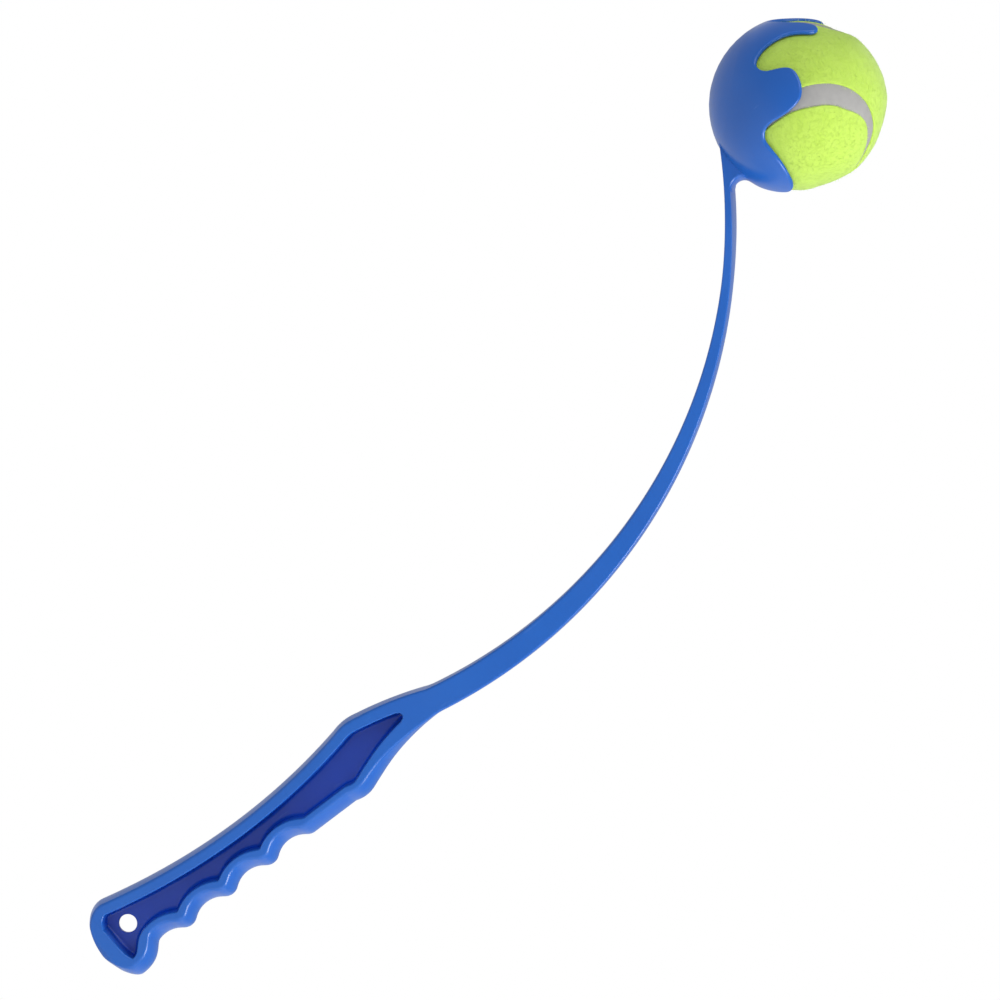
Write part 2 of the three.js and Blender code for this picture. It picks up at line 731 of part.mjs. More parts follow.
// Fills the last ring of a panel down to the line along the panel's middle.
function closeOnMiddle(positions, indices, first, radius, turned) {
  const base = positions.length / 3;
  const places = [];
  const lookup = seamTurns.map((turn) => {
    const point = feltMiddle(turn).multiplyScalar(radius);
    const found = places.findIndex((place) => place.distanceTo(point) < layerGap);
    if (found >= 0) {
      return base + found;
    }
    places.push(point);
    positions.push(point.x, point.y, point.z);
    return base + places.length - 1;
  });
  for (let j = 0; j < seamSteps; j += 1) {
    const next = (j + 1) % seamSteps;
    const faces = [[first + j, first + next, lookup[j]], [first + next, lookup[next], lookup[j]]];
    for (const face of faces) {
      if (new Set(face).size === 3) {
        indices.push(...(turned ? face.reverse() : face));
      }
    }
  }
}

// The rubber seam: a closed band between the two panels, slightly below the felt.
function seamBandGeometry() {
  const section = [
    ...bandOuterShares.map((share) => [share, ballRadius - seamSink]),
    ...bandInnerShares.map((share) => [share, feltInner]),
  ];
  const positions = [];
  const indices = [];
  seamTurns.forEach((turn, j) => {
    section.forEach(([share, radius], k) => {
      const point = besideSeam(turn, (share * seamWidth) / 2).multiplyScalar(radius);
      positions.push(point.x, point.y, point.z);
      const a = j * section.length + k;
      const b = j * section.length + ((k + 1) % section.length);
      const step = section.length;
      const wrap = (index) => index % (seamSteps * step);
      indices.push(a, b, wrap(a + step), b, wrap(b + step), wrap(a + step));
    });
  });
  return facingOut(positions, indices);
}

// Half of the rubber core: a hemispherical shell that stops just short of the cement line.
function coreHalfGeometry() {
  const profile = [];
  const angles = [...Array(coreRows + 1).keys()].map((row) => (Math.PI / 2) * (row / coreRows));
  for (const angle of angles) {
    profile.push(new THREE.Vector2(coreOuter * Math.cos(angle), coreOuter * Math.sin(angle)));
  }
  for (const angle of angles.toReversed()) {
    profile.push(new THREE.Vector2(coreInner * Math.cos(angle), coreInner * Math.sin(angle)));
  }
  profile.forEach((point) => point.setY(Math.max(point.y, cementLine / 2)));
  const ringOf = (point) => [...Array(coreColumns).keys()].map((column) => {
    const turn = (2 * Math.PI * column) / coreColumns;
    return new THREE.Vector3(point.x * Math.cos(turn), point.x * Math.sin(turn), point.y);
  });
  const outerRings = profile.slice(0, coreRows).toReversed().map(ringOf);
  const innerRings = profile.slice(coreRows + 2).toReversed().map(ringOf);
  return loftBetweenPoles(
    new THREE.Vector3(0, 0, coreOuter),
    [...outerRings, ...innerRings],
    new THREE.Vector3(0, 0, coreInner),
  );
}

function named(name, geometry, finish) {
  const mesh = new THREE.Mesh(geometry, new THREE.MeshStandardMaterial(finish));
  mesh.name = name;
  return mesh;
}

function tennisBall() {
  const ball = new THREE.Group();
  ball.setRotationFromEuler(ballTurn);
  const otherHalf = new THREE.Euler(Math.PI, 0, 0);
  ball.add(named('felt_panel_a', feltPanelGeometry(), feltYellow));
  const panelB = named('felt_panel_b', feltPanelGeometry(), feltYellow);
  panelB.setRotationFromEuler(otherHalf);
  ball.add(panelB);
  ball.add(named('seam_band', seamBandGeometry(), seamGrey));
  ball.add(named('ball_core_half_a', coreHalfGeometry(), coreGrey));
  const coreB = named('ball_core_half_b', coreHalfGeometry(), coreGrey);
  coreB.setRotationFromEuler(otherHalf);
  ball.add(coreB);
  return ball;
}

const thrower = new THREE.Group();
thrower.add(named('thrower', throwerGeometry(), wandBlue));
const head = new THREE.Group();
head.applyMatrix4(headFrame);
head.add(tennisBall());
thrower.add(head);
thrower.updateMatrixWorld(true);

export default thrower;
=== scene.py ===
import math

import bpy
from mathutils import Euler, Matrix, Vector, noise


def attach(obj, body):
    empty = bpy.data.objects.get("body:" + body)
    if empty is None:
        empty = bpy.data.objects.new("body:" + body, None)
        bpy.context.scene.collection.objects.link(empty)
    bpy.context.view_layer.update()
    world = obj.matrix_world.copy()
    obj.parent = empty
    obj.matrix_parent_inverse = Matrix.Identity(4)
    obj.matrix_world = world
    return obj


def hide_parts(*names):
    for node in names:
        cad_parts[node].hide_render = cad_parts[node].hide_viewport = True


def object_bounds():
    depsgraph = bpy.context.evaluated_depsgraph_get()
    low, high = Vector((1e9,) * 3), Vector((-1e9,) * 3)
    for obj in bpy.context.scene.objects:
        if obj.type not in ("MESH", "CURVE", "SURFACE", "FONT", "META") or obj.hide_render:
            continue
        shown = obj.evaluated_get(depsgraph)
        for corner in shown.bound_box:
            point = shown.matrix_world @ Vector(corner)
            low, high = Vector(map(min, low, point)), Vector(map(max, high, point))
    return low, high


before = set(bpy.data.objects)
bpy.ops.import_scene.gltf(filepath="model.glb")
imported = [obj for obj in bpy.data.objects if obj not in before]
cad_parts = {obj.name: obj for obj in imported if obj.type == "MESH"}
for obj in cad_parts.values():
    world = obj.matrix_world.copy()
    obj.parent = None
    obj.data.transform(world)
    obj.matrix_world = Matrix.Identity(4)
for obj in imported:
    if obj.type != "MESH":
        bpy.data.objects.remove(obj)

CAD_BOX = [list(corner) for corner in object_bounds()]
MM = 0.001

# Sizes of the ball and the cup, in millimetres
BALL_RADIUS = 32.0
FELT_THICKNESS = 2.4
FELT_EDGE_ROUND = 0.6
SEAM_WIDTH = 8.4
SEAM_SINK = 0.3
SEAM_CROWN = 0.25
SEAM_SHAPE = 0.785
BALL_TURN = Euler((-0.6661, 0.8268, 1.9335), "ZYX")
CUP_CLEARANCE = 0.4
CUP_WALL = 2.0
MOUTH_TILT = 21.35
NOTCH_ANGLE = 60.0
FINGER_TIP_ANGLE = 97.0
# Rings of the cup's plain back, as shares of the way from its pole to where the fingers begin
BACK_SHARE = 0.7
BACK_ROWS = (0.1, 0.25, 0.4, 0.55, 0.7, 0.85)
# Half of the crown's edge, from the notch opposite the shaft round to the notch above the shaft:
# the share of the half turn, and the share of the way from the deepest notch to the longest finger.
CROWN_EDGE = [
    (0, -0.02), (0.03, 0.01), (0.055, 0.09), (0.075, 0.18), (0.09, 0.285), (0.098, 0.39),
    (0.102, 0.5), (0.103, 0.62), (0.104, 0.74), (0.107, 0.84), (0.118, 0.91), (0.137, 0.937),
    (0.154, 0.9), (0.165, 0.81), (0.171, 0.69), (0.178, 0.57), (0.186, 0.465), (0.197, 0.372),
    (0.21, 0.284), (0.225, 0.2), (0.242, 0.124), (0.262, 0.056), (0.285, 0.002), (0.31, -0.034),
    (0.338, -0.022), (0.357, 0.08), (0.362, 0.195), (0.357, 0.305), (0.349, 0.41), (0.343, 0.515),
    (0.342, 0.618), (0.35, 0.71), (0.366, 0.785), (0.386, 0.85), (0.408, 0.895), (0.43, 0.915),
    (0.45, 0.905), (0.468, 0.868), (0.485, 0.815), (0.5, 0.755), (0.515, 0.685), (0.53, 0.608),
    (0.545, 0.525), (0.562, 0.45), (0.583, 0.4), (0.608, 0.387), (0.631, 0.42), (0.647, 0.492),
    (0.662, 0.572), (0.678, 0.65), (0.696, 0.728), (0.716, 0.798), (0.74, 0.866), (0.768, 0.926),
    (0.8, 0.98), (0.83, 1), (0.86, 0.99), (0.888, 0.935), (0.908, 0.81), (0.932, 0.61),
    (0.965, 0.42), (1, 0.35),
]

# The felt's fibres, in metres: fewer and thicker than real ones, so that they still show
NAP_DENSITY = 1.7e6
NAP_LENGTH = 1.8 * MM
NAP_RISE_INSIDE = 0.1 * MM
NAP_RISE_OPEN = 0.14 * MM
NAP_THICKNESS_SHARE = 0.055
# They grow where the cloth lies further out than this, in mm from the ball's centre.
NAP_FROM = BALL_RADIUS - 1.0
# One fibre is an arch one unit long and about one unit high, from its root to a hooked tip.
NAP_ARCH = {"Start": (0, 0, 0), "Middle": (0.4, 0, 1.7), "End": (1, 0.2, 0.4)}
PLACE_SEED = 3
LENGTH_SEED = 5
HEADING_SEED = 11
# The fibres rise, and the cloth swells, as the ball comes clear of the cup, between these shares
# of the ball's radius towards the mouth.
NAP_CLEAR = (0.17, 0.45)
CLOTH_CLEAR = (0.2, 0.5)
# The brushed felt stands fuller on the ball's upper right and is pressed flat below, in mm. The
# spans say at which cosine from the middle of that side this begins, and where it is full.
FELT_PUFF = 1.4
PUFF_SPAN = (0.62, 0.96)
FELT_PRESS = 0.9
PRESS_SPAN = (0.7, 1)
FELT_LUMPS = 0.16
LUMPS_SCALE = 5
# Where the felt of panels a and b lies over the seam: depth in mm, middle and half span in degrees,
# and the share of the half span in which it reaches its depth
SEAM_COVERS = [[(2.8, 92.0, 24.0)], [(4.0, 80.0, 36.0), (1.4, 2.0, 26.0)]]
COVER_EASE = 0.6

# Sizes of the shaft
LEAD_IN_RADIUS = 137.0
ROOT_LEAN = 13.0
BEND_RADIUS = 201.9
BEND_ANGLE = 75.65
ROOT_THICKNESS = 10.7
NECK_THICKNESS = 2.6
ROOT_WIDTH = 21.0
WAIST_WIDTH = 16.0
NECK_WIDTH = 22.0
NECK_INSET = 2.4
NECK_FILLET = 4.3
FLARE_SPAN = 32.0
EDGE_ROUND = 1.0
SHAFT_CROWN = 0.4

# Sizes of the handle
GRIP_THICKNESS = 22.0
BUTT_HEIGHT = -67.4
BUTT_CENTRE = 2.2
BUTT_RADIUS = 27.7
BUTT_EDGE_ROUND = 2.4
HEEL_HEIGHT = -58.0
HEEL_REACH = 15.5
HEEL_ROUND = 5.0
KNEE_HEIGHT = 60.0
KNEE_REACH = 11.2
KNEE_ROUND = 5.0
PALM_HOLLOW = 6.5
LOBE_HEIGHT = -60.2
LOBE_REACH = 17.2
GROOVE_COUNT = 4
GROOVE_PITCH = 19.8
FIRST_GROOVE = -44.2
GROOVE_RADIUS = 11.0
RIDGE_RADIUS = 4.7
CREST_REACH = 14.0
CREST_RISE = 1.65
STOP_HEIGHT = 49.5
STOP_REACH = 17.6
STOP_ROUND = 4.5
THROAT_HEIGHT = 68.0
THROAT_REACH = 10.6
SHAFT_START = 93.0
FINGER_SIDE_CROWN = 4.5
PALM_SIDE_CROWN = 1.5

# Sizes of the pockets and the hang hole
FINGER_RIM = 6.9
PALM_RIM = 5.6
BUTT_RIM = 3.1
WEB_THICKNESS = 3.0
POCKET_DRAFT = 0.5
FLOOR_FILLET = 1.5
BUTT_DRAFT_SHARE = 1.3
RIM_ROUND = 0.5
RIM_FLARE = 0.55
POCKET_CORNER = 4.2
POCKET_TIP = 80.4
POCKET_TIP_RADIUS = 1.4
HANG_HOLE_RADIUS = 3.5
HANG_HOLE_REACH = -1.4
HANG_HOLE_HEIGHT = -53.1
HOLE_EDGE_ROUND = 0.4
OVERRUN = 2.0

# The camera looks at the near flat side with a long lens, from slightly above the finger side.
BACKWARD = Vector((-0.008, -0.992, 0.128)).normalized()
PHOTO_RIGHT = Vector((0.618, 0.0, 0.786))
RIGHT = (PHOTO_RIGHT - PHOTO_RIGHT.dot(BACKWARD) * BACKWARD).normalized()
UP = BACKWARD.cross(RIGHT)
TARGET = Vector((-0.03975, 0.0, 0.15957))
DISTANCE = 10.0
FIELD = 0.3796
SENSOR = 36

# The ball's upper right in the picture, where its felt stands fullest
FULL_SIDE = 0.82 * RIGHT + 0.57 * UP

# The studio: the middle of the white sweep, at which cosine from it the sweep begins and is full, and
# the level of the dimmer room round it, as the gloss reflects it and as it lights the object
SWEEP_MIDDLE = (-BACKWARD - 0.7 * RIGHT).normalized()
SWEEP_SPAN = (0.6, 0.95)
ROOM_IN_GLOSS = 0.4
ROOM_LIGHT = 0.5

# The floor, in metres: how far it reaches, how far it lies below the butt, and where it turns white
FLOOR_REACH = 9.0
FLOOR_DROP = 0.12
FLOOR_FADE = (0.2, 0.5)


def linear(hex_colour):
    """An sRGB hex colour as linear RGBA."""
    channels = [int(hex_colour[i:i + 2], 16) / 255 for i in (0, 2, 4)]
    return [c / 12.92 if c <= 0.04045 else ((c + 0.055) / 1.055) ** 2.4 for c in channels] + [1.0]


def new_object(name, data):
    made = bpy.data.objects.new(name, data)
    bpy.context.scene.collection.objects.link(made)
    return made


def evaluated_mesh(piece):
    """A new mesh of the piece with its modifiers applied."""
    return bpy.data.meshes.new_from_object(piece.evaluated_get(bpy.context.evaluated_depsgraph_get()))


def lerp(a, b, share):
    return a + (b - a) * share


def smoothstep(value, low, high):
    share = min(max((value - low) / (high - low), 0), 1)
    return share * share * (3 - 2 * share)


# The spine runs straight up the handle, leans towards the fingers, then bends back to the cup.
LEAN = math.radians(ROOT_LEAN)
LEAD_IN_END = KNEE_HEIGHT + LEAD_IN_RADIUS * LEAN
BEND_CENTRE = (
    LEAD_IN_RADIUS * (1 - math.cos(LEAN)) - BEND_RADIUS * math.cos(LEAN),
    KNEE_HEIGHT + (LEAD_IN_RADIUS + BEND_RADIUS) * math.sin(LEAN),
)
CUP_INNER = BALL_RADIUS + CUP_CLEARANCE
CUP_OUTER = CUP_INNER + CUP_WALL
CUP_REACH = BEND_RADIUS - NECK_THICKNESS / 2 - NECK_INSET + CUP_OUTER
CUP_BEARING = math.radians(BEND_ANGLE - ROOT_LEAN)
CUP_CENTRE = (
    BEND_CENTRE[0] + CUP_REACH * math.cos(CUP_BEARING),
    BEND_CENTRE[1] + CUP_REACH * math.sin(CUP_BEARING),
)
SPINE_END = LEAD_IN_END + BEND_RADIUS * math.radians(BEND_ANGLE)
FLARE_END = SPINE_END - CUP_OUTER


def beside_spine(station, reach, side):
    """A point beside the spine: reach is towards the fingers, side is along Y."""
    if station <= KNEE_HEIGHT:
        x, z, lean = 0, station, 0
    elif station <= LEAD_IN_END:
        lean = (station - KNEE_HEIGHT) / LEAD_IN_RADIUS
        x = LEAD_IN_RADIUS * (1 - math.cos(lean))
        z = KNEE_HEIGHT + LEAD_IN_RADIUS * math.sin(lean)
    else:
        lean = LEAN - (station - LEAD_IN_END) / BEND_RADIUS
        x = BEND_CENTRE[0] + BEND_RADIUS * math.cos(lean)
        z = BEND_CENTRE[1] - BEND_RADIUS * math.sin(lean)
    return Vector((x + reach * math.cos(lean), side, z - reach * math.sin(lean)))


def curve_through(start, *controls, steps=24):
    """Points on a Bezier curve, without its start."""
    found = []
    for step in range(1, steps + 1):
        points = [Vector(point) for point in (start, *controls)]
        while len(points) > 1:
            points = [a.lerp(b, step / steps) for a, b in zip(points, points[1:])]
        found.append(tuple(points[0]))
    return found


def read_edge(points, station):
    """Reads a drawn edge as a height over its run."""
    low, high = 0, len(points) - 1
    while high - low > 1:
        middle = (low + high) // 2
        low, high = (middle, high) if points[middle][0] < station else (low, middle)
    (a, reach_a), (b, reach_b) = points[low], points[high]
    return lerp(reach_a, reach_b, (station - a) / (b - a)) if b > a else reach_b


# The finger side follows four grooves joined by ridges, tangent to each other.
BOTH_RADII = GROOVE_RADIUS + RIDGE_RADIUS
GROOVE_DEPTH = BOTH_RADII - math.sqrt(BOTH_RADII ** 2 - (GROOVE_PITCH / 2) ** 2)


def below_crest(distance):
    if distance <= GROOVE_PITCH / 2 * GROOVE_RADIUS / BOTH_RADII:
        return GROOVE_DEPTH - GROOVE_RADIUS + math.sqrt(GROOVE_RADIUS ** 2 - distance ** 2)
    return RIDGE_RADIUS - math.sqrt(RIDGE_RADIUS ** 2 - (GROOVE_PITCH / 2 - distance) ** 2)


def crest_at(station):
    return CREST_REACH + CREST_RISE * (station - FIRST_GROOVE) / (GROOVE_COUNT * GROOVE_PITCH)


def grooved_reach(station):
    groove = min(GROOVE_COUNT - 1, max(0, round((station - FIRST_GROOVE) / GROOVE_PITCH)))
    distance = abs(station - FIRST_GROOVE - groove * GROOVE_PITCH)
    return crest_at(station) - below_crest(min(distance, GROOVE_PITCH / 2))


def butt_rise(reach):
    return BUTT_HEIGHT + BUTT_RADIUS - math.sqrt(BUTT_RADIUS ** 2 - reach ** 2)


def palm_edge():
    """The palm side, from the middle of the butt, round the heel and along the hollow to the knee."""
    on_butt = BUTT_CENTRE + HEEL_REACH - HEEL_ROUND
    along = [on_butt * step / 12 for step in range(13)]
    points = [(butt_rise(reach), reach - BUTT_CENTRE) for reach in along]
    points += curve_through(points[-1], (HEEL_HEIGHT - HEEL_ROUND / 2, HEEL_REACH),
                            (HEEL_HEIGHT + HEEL_ROUND / 2, HEEL_REACH - HEEL_ROUND / 8))
    points += curve_through(
        points[-1],
        ((HEEL_HEIGHT + KNEE_HEIGHT) / 2, (HEEL_REACH + KNEE_REACH) / 2 - 2 * PALM_HOLLOW),
        (KNEE_HEIGHT - KNEE_ROUND, KNEE_REACH - KNEE_ROUND / 6), steps=60)
    points += curve_through(points[-1], (KNEE_HEIGHT, KNEE_REACH + KNEE_ROUND / 10),
                            (KNEE_HEIGHT + KNEE_ROUND, KNEE_REACH - KNEE_ROUND / 6))
    return points + [(SHAFT_START, ROOT_THICKNESS / 2)]


def finger_edge():
    """The finger side, from the middle of the butt, round the lobe and over the grooves to the throat."""
    on_butt = LOBE_REACH - BUTT_CENTRE - HEEL_ROUND
    foot = FIRST_GROOVE - GROOVE_RADIUS / 3
    along = [on_butt * step / 12 for step in range(13)]
    points = [(butt_rise(reach), BUTT_CENTRE + reach) for reach in along]
    points += curve_through(
        points[-1], (LOBE_HEIGHT - HEEL_ROUND / 2, LOBE_REACH), (LOBE_HEIGHT, LOBE_REACH))
    points += curve_through(
        points[-1], ((LOBE_HEIGHT + 2 * foot) / 3, LOBE_REACH),
        ((LOBE_HEIGHT + 4 * foot) / 5, grooved_reach(foot) + GROOVE_DEPTH / 2), (foot, grooved_reach(foot)))
    end = FIRST_GROOVE + (GROOVE_COUNT - 0.5) * GROOVE_PITCH
    for step in range(1, 161):
        station = lerp(foot, end, step / 160)
        points.append((station, grooved_reach(station)))
    points.append((STOP_HEIGHT - STOP_ROUND, crest_at(STOP_HEIGHT - STOP_ROUND)))
    after_stop = STOP_ROUND / (THROAT_HEIGHT - STOP_HEIGHT)
    points += curve_through(points[-1], (STOP_HEIGHT, STOP_REACH),
                            (STOP_HEIGHT + STOP_ROUND, lerp(STOP_REACH, THROAT_REACH, after_stop)))
    return points + curve_through(
        points[-1], (THROAT_HEIGHT, THROAT_REACH), (SHAFT_START, ROOT_THICKNESS / 2))


PALM_EDGE = palm_edge()
FINGER_EDGE = finger_edge()


def shaft_half_thickness(station):
    share = min(max((station - SHAFT_START) / (SPINE_END - SHAFT_START), 0), 1)
    return lerp(ROOT_THICKNESS, NECK_THICKNESS, (share + smoothstep(share, 0, 1)) / 2) / 2


def palm_reach(station):
    return read_edge(PALM_EDGE, station) if station < SHAFT_START else shaft_half_thickness(station)


def finger_reach(station):
    return read_edge(FINGER_EDGE, station) if station < SHAFT_START else shaft_half_thickness(station)


def half_width(station):
    handle = lerp(GRIP_THICKNESS, ROOT_WIDTH, smoothstep(station, STOP_HEIGHT, SHAFT_START))
    shaft = lerp(handle, WAIST_WIDTH, smoothstep(station, SHAFT_START, (SHAFT_START + SPINE_END) / 2))
    width = lerp(shaft, NECK_WIDTH, smoothstep(station, FLARE_END - FLARE_SPAN, FLARE_END))
    depth = min(station - BUTT_HEIGHT, BUTT_EDGE_ROUND)
    return width / 2 - BUTT_EDGE_ROUND + math.sqrt(BUTT_EDGE_ROUND ** 2 - (BUTT_EDGE_ROUND - depth) ** 2)


def section_ring(station):
    """The wand's outline across the spine, with crowned edges and rounded corners."""
    width, front, back = half_width(station), finger_reach(station), palm_reach(station)
    on_shaft = smoothstep(station, STOP_HEIGHT, SHAFT_START)
    front_crown = min(lerp(FINGER_SIDE_CROWN, SHAFT_CROWN, on_shaft), (front + back) / 4)
    back_crown = min(lerp(PALM_SIDE_CROWN, SHAFT_CROWN, on_shaft), (front + back) / 4)
    corner = min(EDGE_ROUND, (front + back) / 8)
    straight = 1 - corner / width
    shares = [straight * (0.5 + i) / 9 for i in range(9)]
    half = [(front - front_crown * share ** 2, width * share) for share in shares]
    side = (front - front_crown - corner, width)
    start = (front - front_crown * straight ** 2, width * straight)
    half += [start] + curve_through(start, (front - front_crown, width), side, steps=6)
    side = (back_crown - back + corner, width)
    end = (back_crown * straight ** 2 - back, width * straight)
    half += [side] + curve_through(side, (back_crown - back, width), end, steps=6)
    half += [(back_crown * share ** 2 - back, width * share) for share in reversed(shares)]
    whole = half + [(reach, -across) for reach, across in reversed(half)]
    return [beside_spine(station, reach, across) for reach, across in whole]


def wand_stations():
    """Close together at the butt and along the grip, wider along the shaft."""
    butt_rows, grip_rows, shaft_rows = 26, 170, 130
    first_share, crowding = 0.004, 2.2
    stations = [BUTT_HEIGHT + first_share * (HEEL_HEIGHT - BUTT_HEIGHT)]
    stations += [lerp(BUTT_HEIGHT, HEEL_HEIGHT, (row / butt_rows) ** crowding)
                 for row in range(2, butt_rows)]
    span = KNEE_HEIGHT + 2 * KNEE_ROUND - HEEL_HEIGHT
    stations += [HEEL_HEIGHT + span * row / grip_rows for row in range(grip_rows)]
    shaft_from = KNEE_HEIGHT + 2 * KNEE_ROUND
    span = SPINE_END - KNEE_HEIGHT - 2 * KNEE_ROUND
    return stations + [shaft_from + span * row / shaft_rows for row in range(shaft_rows + 1)]


def inset_edge(reach_at, rim, station):
    """The inner offset of a side's edge by a rim's width, with its cusps trimmed."""
    steps = [rim * step / 24 for step in range(-24, 25)]
    return min(reach_at(station + along) - math.sqrt(max(rim ** 2 - along ** 2, 0)) for along in steps)


def soft_least(a, b, blend):
    share = max(blend - abs(a - b), 0) / blend
    return min(a, b) - share ** 2 * blend / 4


def pocket_ring(inset, height_at):
    """One ring of a pocket's wall: the finger side upwards, then the palm side downwards."""
    butt_curve = BUTT_RADIUS - BUTT_RIM - inset * BUTT_DRAFT_SHARE
    bottom = BUTT_HEIGHT + BUTT_RIM + inset * BUTT_DRAFT_SHARE
    top = POCKET_TIP - inset
    tip_radius = max(POCKET_TIP_RADIUS - inset / 3, POCKET_TIP_RADIUS / 4)
    finger, palm = [], []
    rows = 170
    for row in range(rows + 1):
        share = row / rows
        eased = (share + (1 - math.cos(math.pi * share)) / 2) / 2
        station = lerp(bottom + BUTT_RIM / 200, top, eased)
        from_centre = min(BUTT_HEIGHT + BUTT_RADIUS - station, butt_curve)
        chord = math.sqrt(butt_curve ** 2 - from_centre ** 2) if from_centre > 0 else butt_curve
        right = soft_least(
            inset_edge(finger_reach, FINGER_RIM + inset, station), BUTT_CENTRE + chord, POCKET_CORNER)
        left = soft_least(
            inset_edge(palm_reach, PALM_RIM + inset, station), chord - BUTT_CENTRE, POCKET_CORNER)
        from_tip = min(max(top - station, 0), tip_radius)
        tip_half = math.sqrt(tip_radius ** 2 - (tip_radius - from_tip) ** 2) + tip_radius / 20
        half = max((right + left) / 2, tip_radius / 2)
        half = min(half, tip_half) if from_tip < tip_radius else half
        middle = (right - left) / 2
        finger.append(beside_spine(station, middle + half, height_at(station)))
        palm.append(beside_spine(station, middle - half, height_at(station)))
    return finger + palm[::-1]


def pocket_rings():
    """The far pocket from above the rim down to the web: rounded rim, drafted wall, filleted floor."""
    floor = WEB_THICKNESS / 2
    rings = [pocket_ring(-RIM_FLARE, lambda station: GRIP_THICKNESS / 2 + OVERRUN)]
    for turn in (78, 60, 40, 20, 0):
        inset = RIM_ROUND * (math.cos(math.radians(turn)) - 1)
        depth = RIM_ROUND * (1 - math.sin(math.radians(turn)))
        rings.append(pocket_ring(inset, lambda station: half_width(station) - depth))
    for turn in (0, 15, 30, 45, 60, 75, 90):
        inset = POCKET_DRAFT + FLOOR_FILLET * (1 - math.cos(math.radians(turn)))
        rise = FLOOR_FILLET * (1 - math.sin(math.radians(turn)))
        rings.append(pocket_ring(inset, lambda station: floor + rise))
    return rings


def hang_hole_rings():
    """The hang hole through the web, with its edges rounded."""
    web = WEB_THICKNESS / 2
    half = []
    for turn in (0, 22, 45, 67, 85):
        angle = math.radians(turn)
        side = web - HOLE_EDGE_ROUND * (1 - math.sin(angle))
        half.append((side, HOLE_EDGE_ROUND * (1 - math.cos(angle))))
    half.append((web + OVERRUN / 2, HOLE_EDGE_ROUND))
    profile = [(-side, flare) for side, flare in reversed(half)] + half
    turns = [math.radians(turn) for turn in range(0, 360, 6)]
    return [[
        Vector((HANG_HOLE_REACH + (HANG_HOLE_RADIUS + flare) * math.cos(turn), side,
                HANG_HOLE_HEIGHT + (HANG_HOLE_RADIUS + flare) * math.sin(turn)))
        for turn in turns] for side, flare in profile]


def skin(name, rings, poles=None):
    """A closed mesh object through rings of equal length, closed by a flat face or a point at each end."""
    count = len(rings[0])
    points = [point for ring in rings for point in ring]
    faces = []
    for ring in range(len(rings) - 1):
        for j in range(count):
            a, b = ring * count + j, ring * count + (j + 1) % count
            faces.append((a, b, b + count, a + count))
    last = (len(rings) - 1) * count
    if poles:
        points += poles
        faces += [((j + 1) % count, j, len(points) - 2) for j in range(count)]
        faces += [(last + j, last + (j + 1) % count, len(points) - 1) for j in range(count)]
    else:
        faces += [tuple(range(count))[::-1], tuple(range(last, last + count))]
    return mesh_object(name, points, faces)


def mesh_object(name, points, faces):
    """An object in metres from points in millimetres, with its faces turned outwards."""
    mesh = bpy.data.meshes.new(name)
    mesh.from_pydata([point * MM for point in points], [], faces)
    if volume(mesh) < 0:
        mesh.flip_normals()
    return new_object(name, mesh)


def volume(mesh):
    mesh.calc_loop_triangles()
    corners = [[mesh.vertices[i].co for i in triangle.vertices] for triangle in mesh.loop_triangles]
    return sum(a.dot(b.cross(c)) for a, b, c in corners)


# The head's own frame: its Z axis leaves through the mouth and its X axis points away from the grip.
MOUTH_BEARING = CUP_BEARING - math.radians(MOUTH_TILT)
MOUTH = Vector((math.cos(MOUTH_BEARING), 0, math.sin(MOUTH_BEARING)))
AWAY = Vector((-math.sin(MOUTH_BEARING), 0, math.cos(MOUTH_BEARING)))
HEAD = Matrix.Translation((CUP_CENTRE[0], 0, CUP_CENTRE[1])) @ Matrix(
    (AWAY, Vector((0, -1, 0)), MOUTH)).transposed().to_4x4()


def towards(polar, turn):
    """A direction from the cup's centre: polar is measured from the back of the cup."""
    return Vector((math.sin(polar) * math.cos(turn), math.sin(polar) * math.sin(turn), -math.cos(polar)))


def crown_edge(columns):
    """Directions spaced evenly along the crown's edge, on a centripetal curve through its points."""
    half = [(math.pi * turn, math.radians(lerp(NOTCH_ANGLE, FINGER_TIP_ANGLE, reach)))
            for turn, reach in CROWN_EDGE]
    whole = half + [(-turn, polar) for turn, polar in half[-2:0:-1]]
    points = [towards(polar, turn) for turn, polar in whole]
    curve, steps = [], 24
    for i in range(len(points)):
        near = [points[(i + k) % len(points)] for k in (-1, 0, 1, 2)]
        knots = [0.0]
        for a, b in zip(near, near[1:]):
            knots.append(knots[-1] + math.sqrt((b - a).length))
        for step in range(steps):
            at = lerp(knots[1], knots[2], step / steps)
            level = near
            for first, reach in ((0, 1), (0, 2), (1, 1)):
                level = [a.lerp(b, (at - knots[first + j]) / (knots[first + j + reach] - knots[first + j]))
                         for j, (a, b) in enumerate(zip(level, level[1:]))]
            curve.append(level[0].normalized())
    lengths = [0.0]
    for a, b in zip(curve, curve[1:] + curve[:1]):
        lengths.append(lengths[-1] + (b - a).length)
    edge, at = [], 0
    for column in range(columns):
        wanted = lengths[-1] * column / columns
        while lengths[at + 1] < wanted:
            at += 1
        share = (wanted - lengths[at]) / (lengths[at + 1] - lengths[at])
        edge.append(curve[at].lerp(curve[(at + 1) % len(curve)], share).normalized())
    return edge


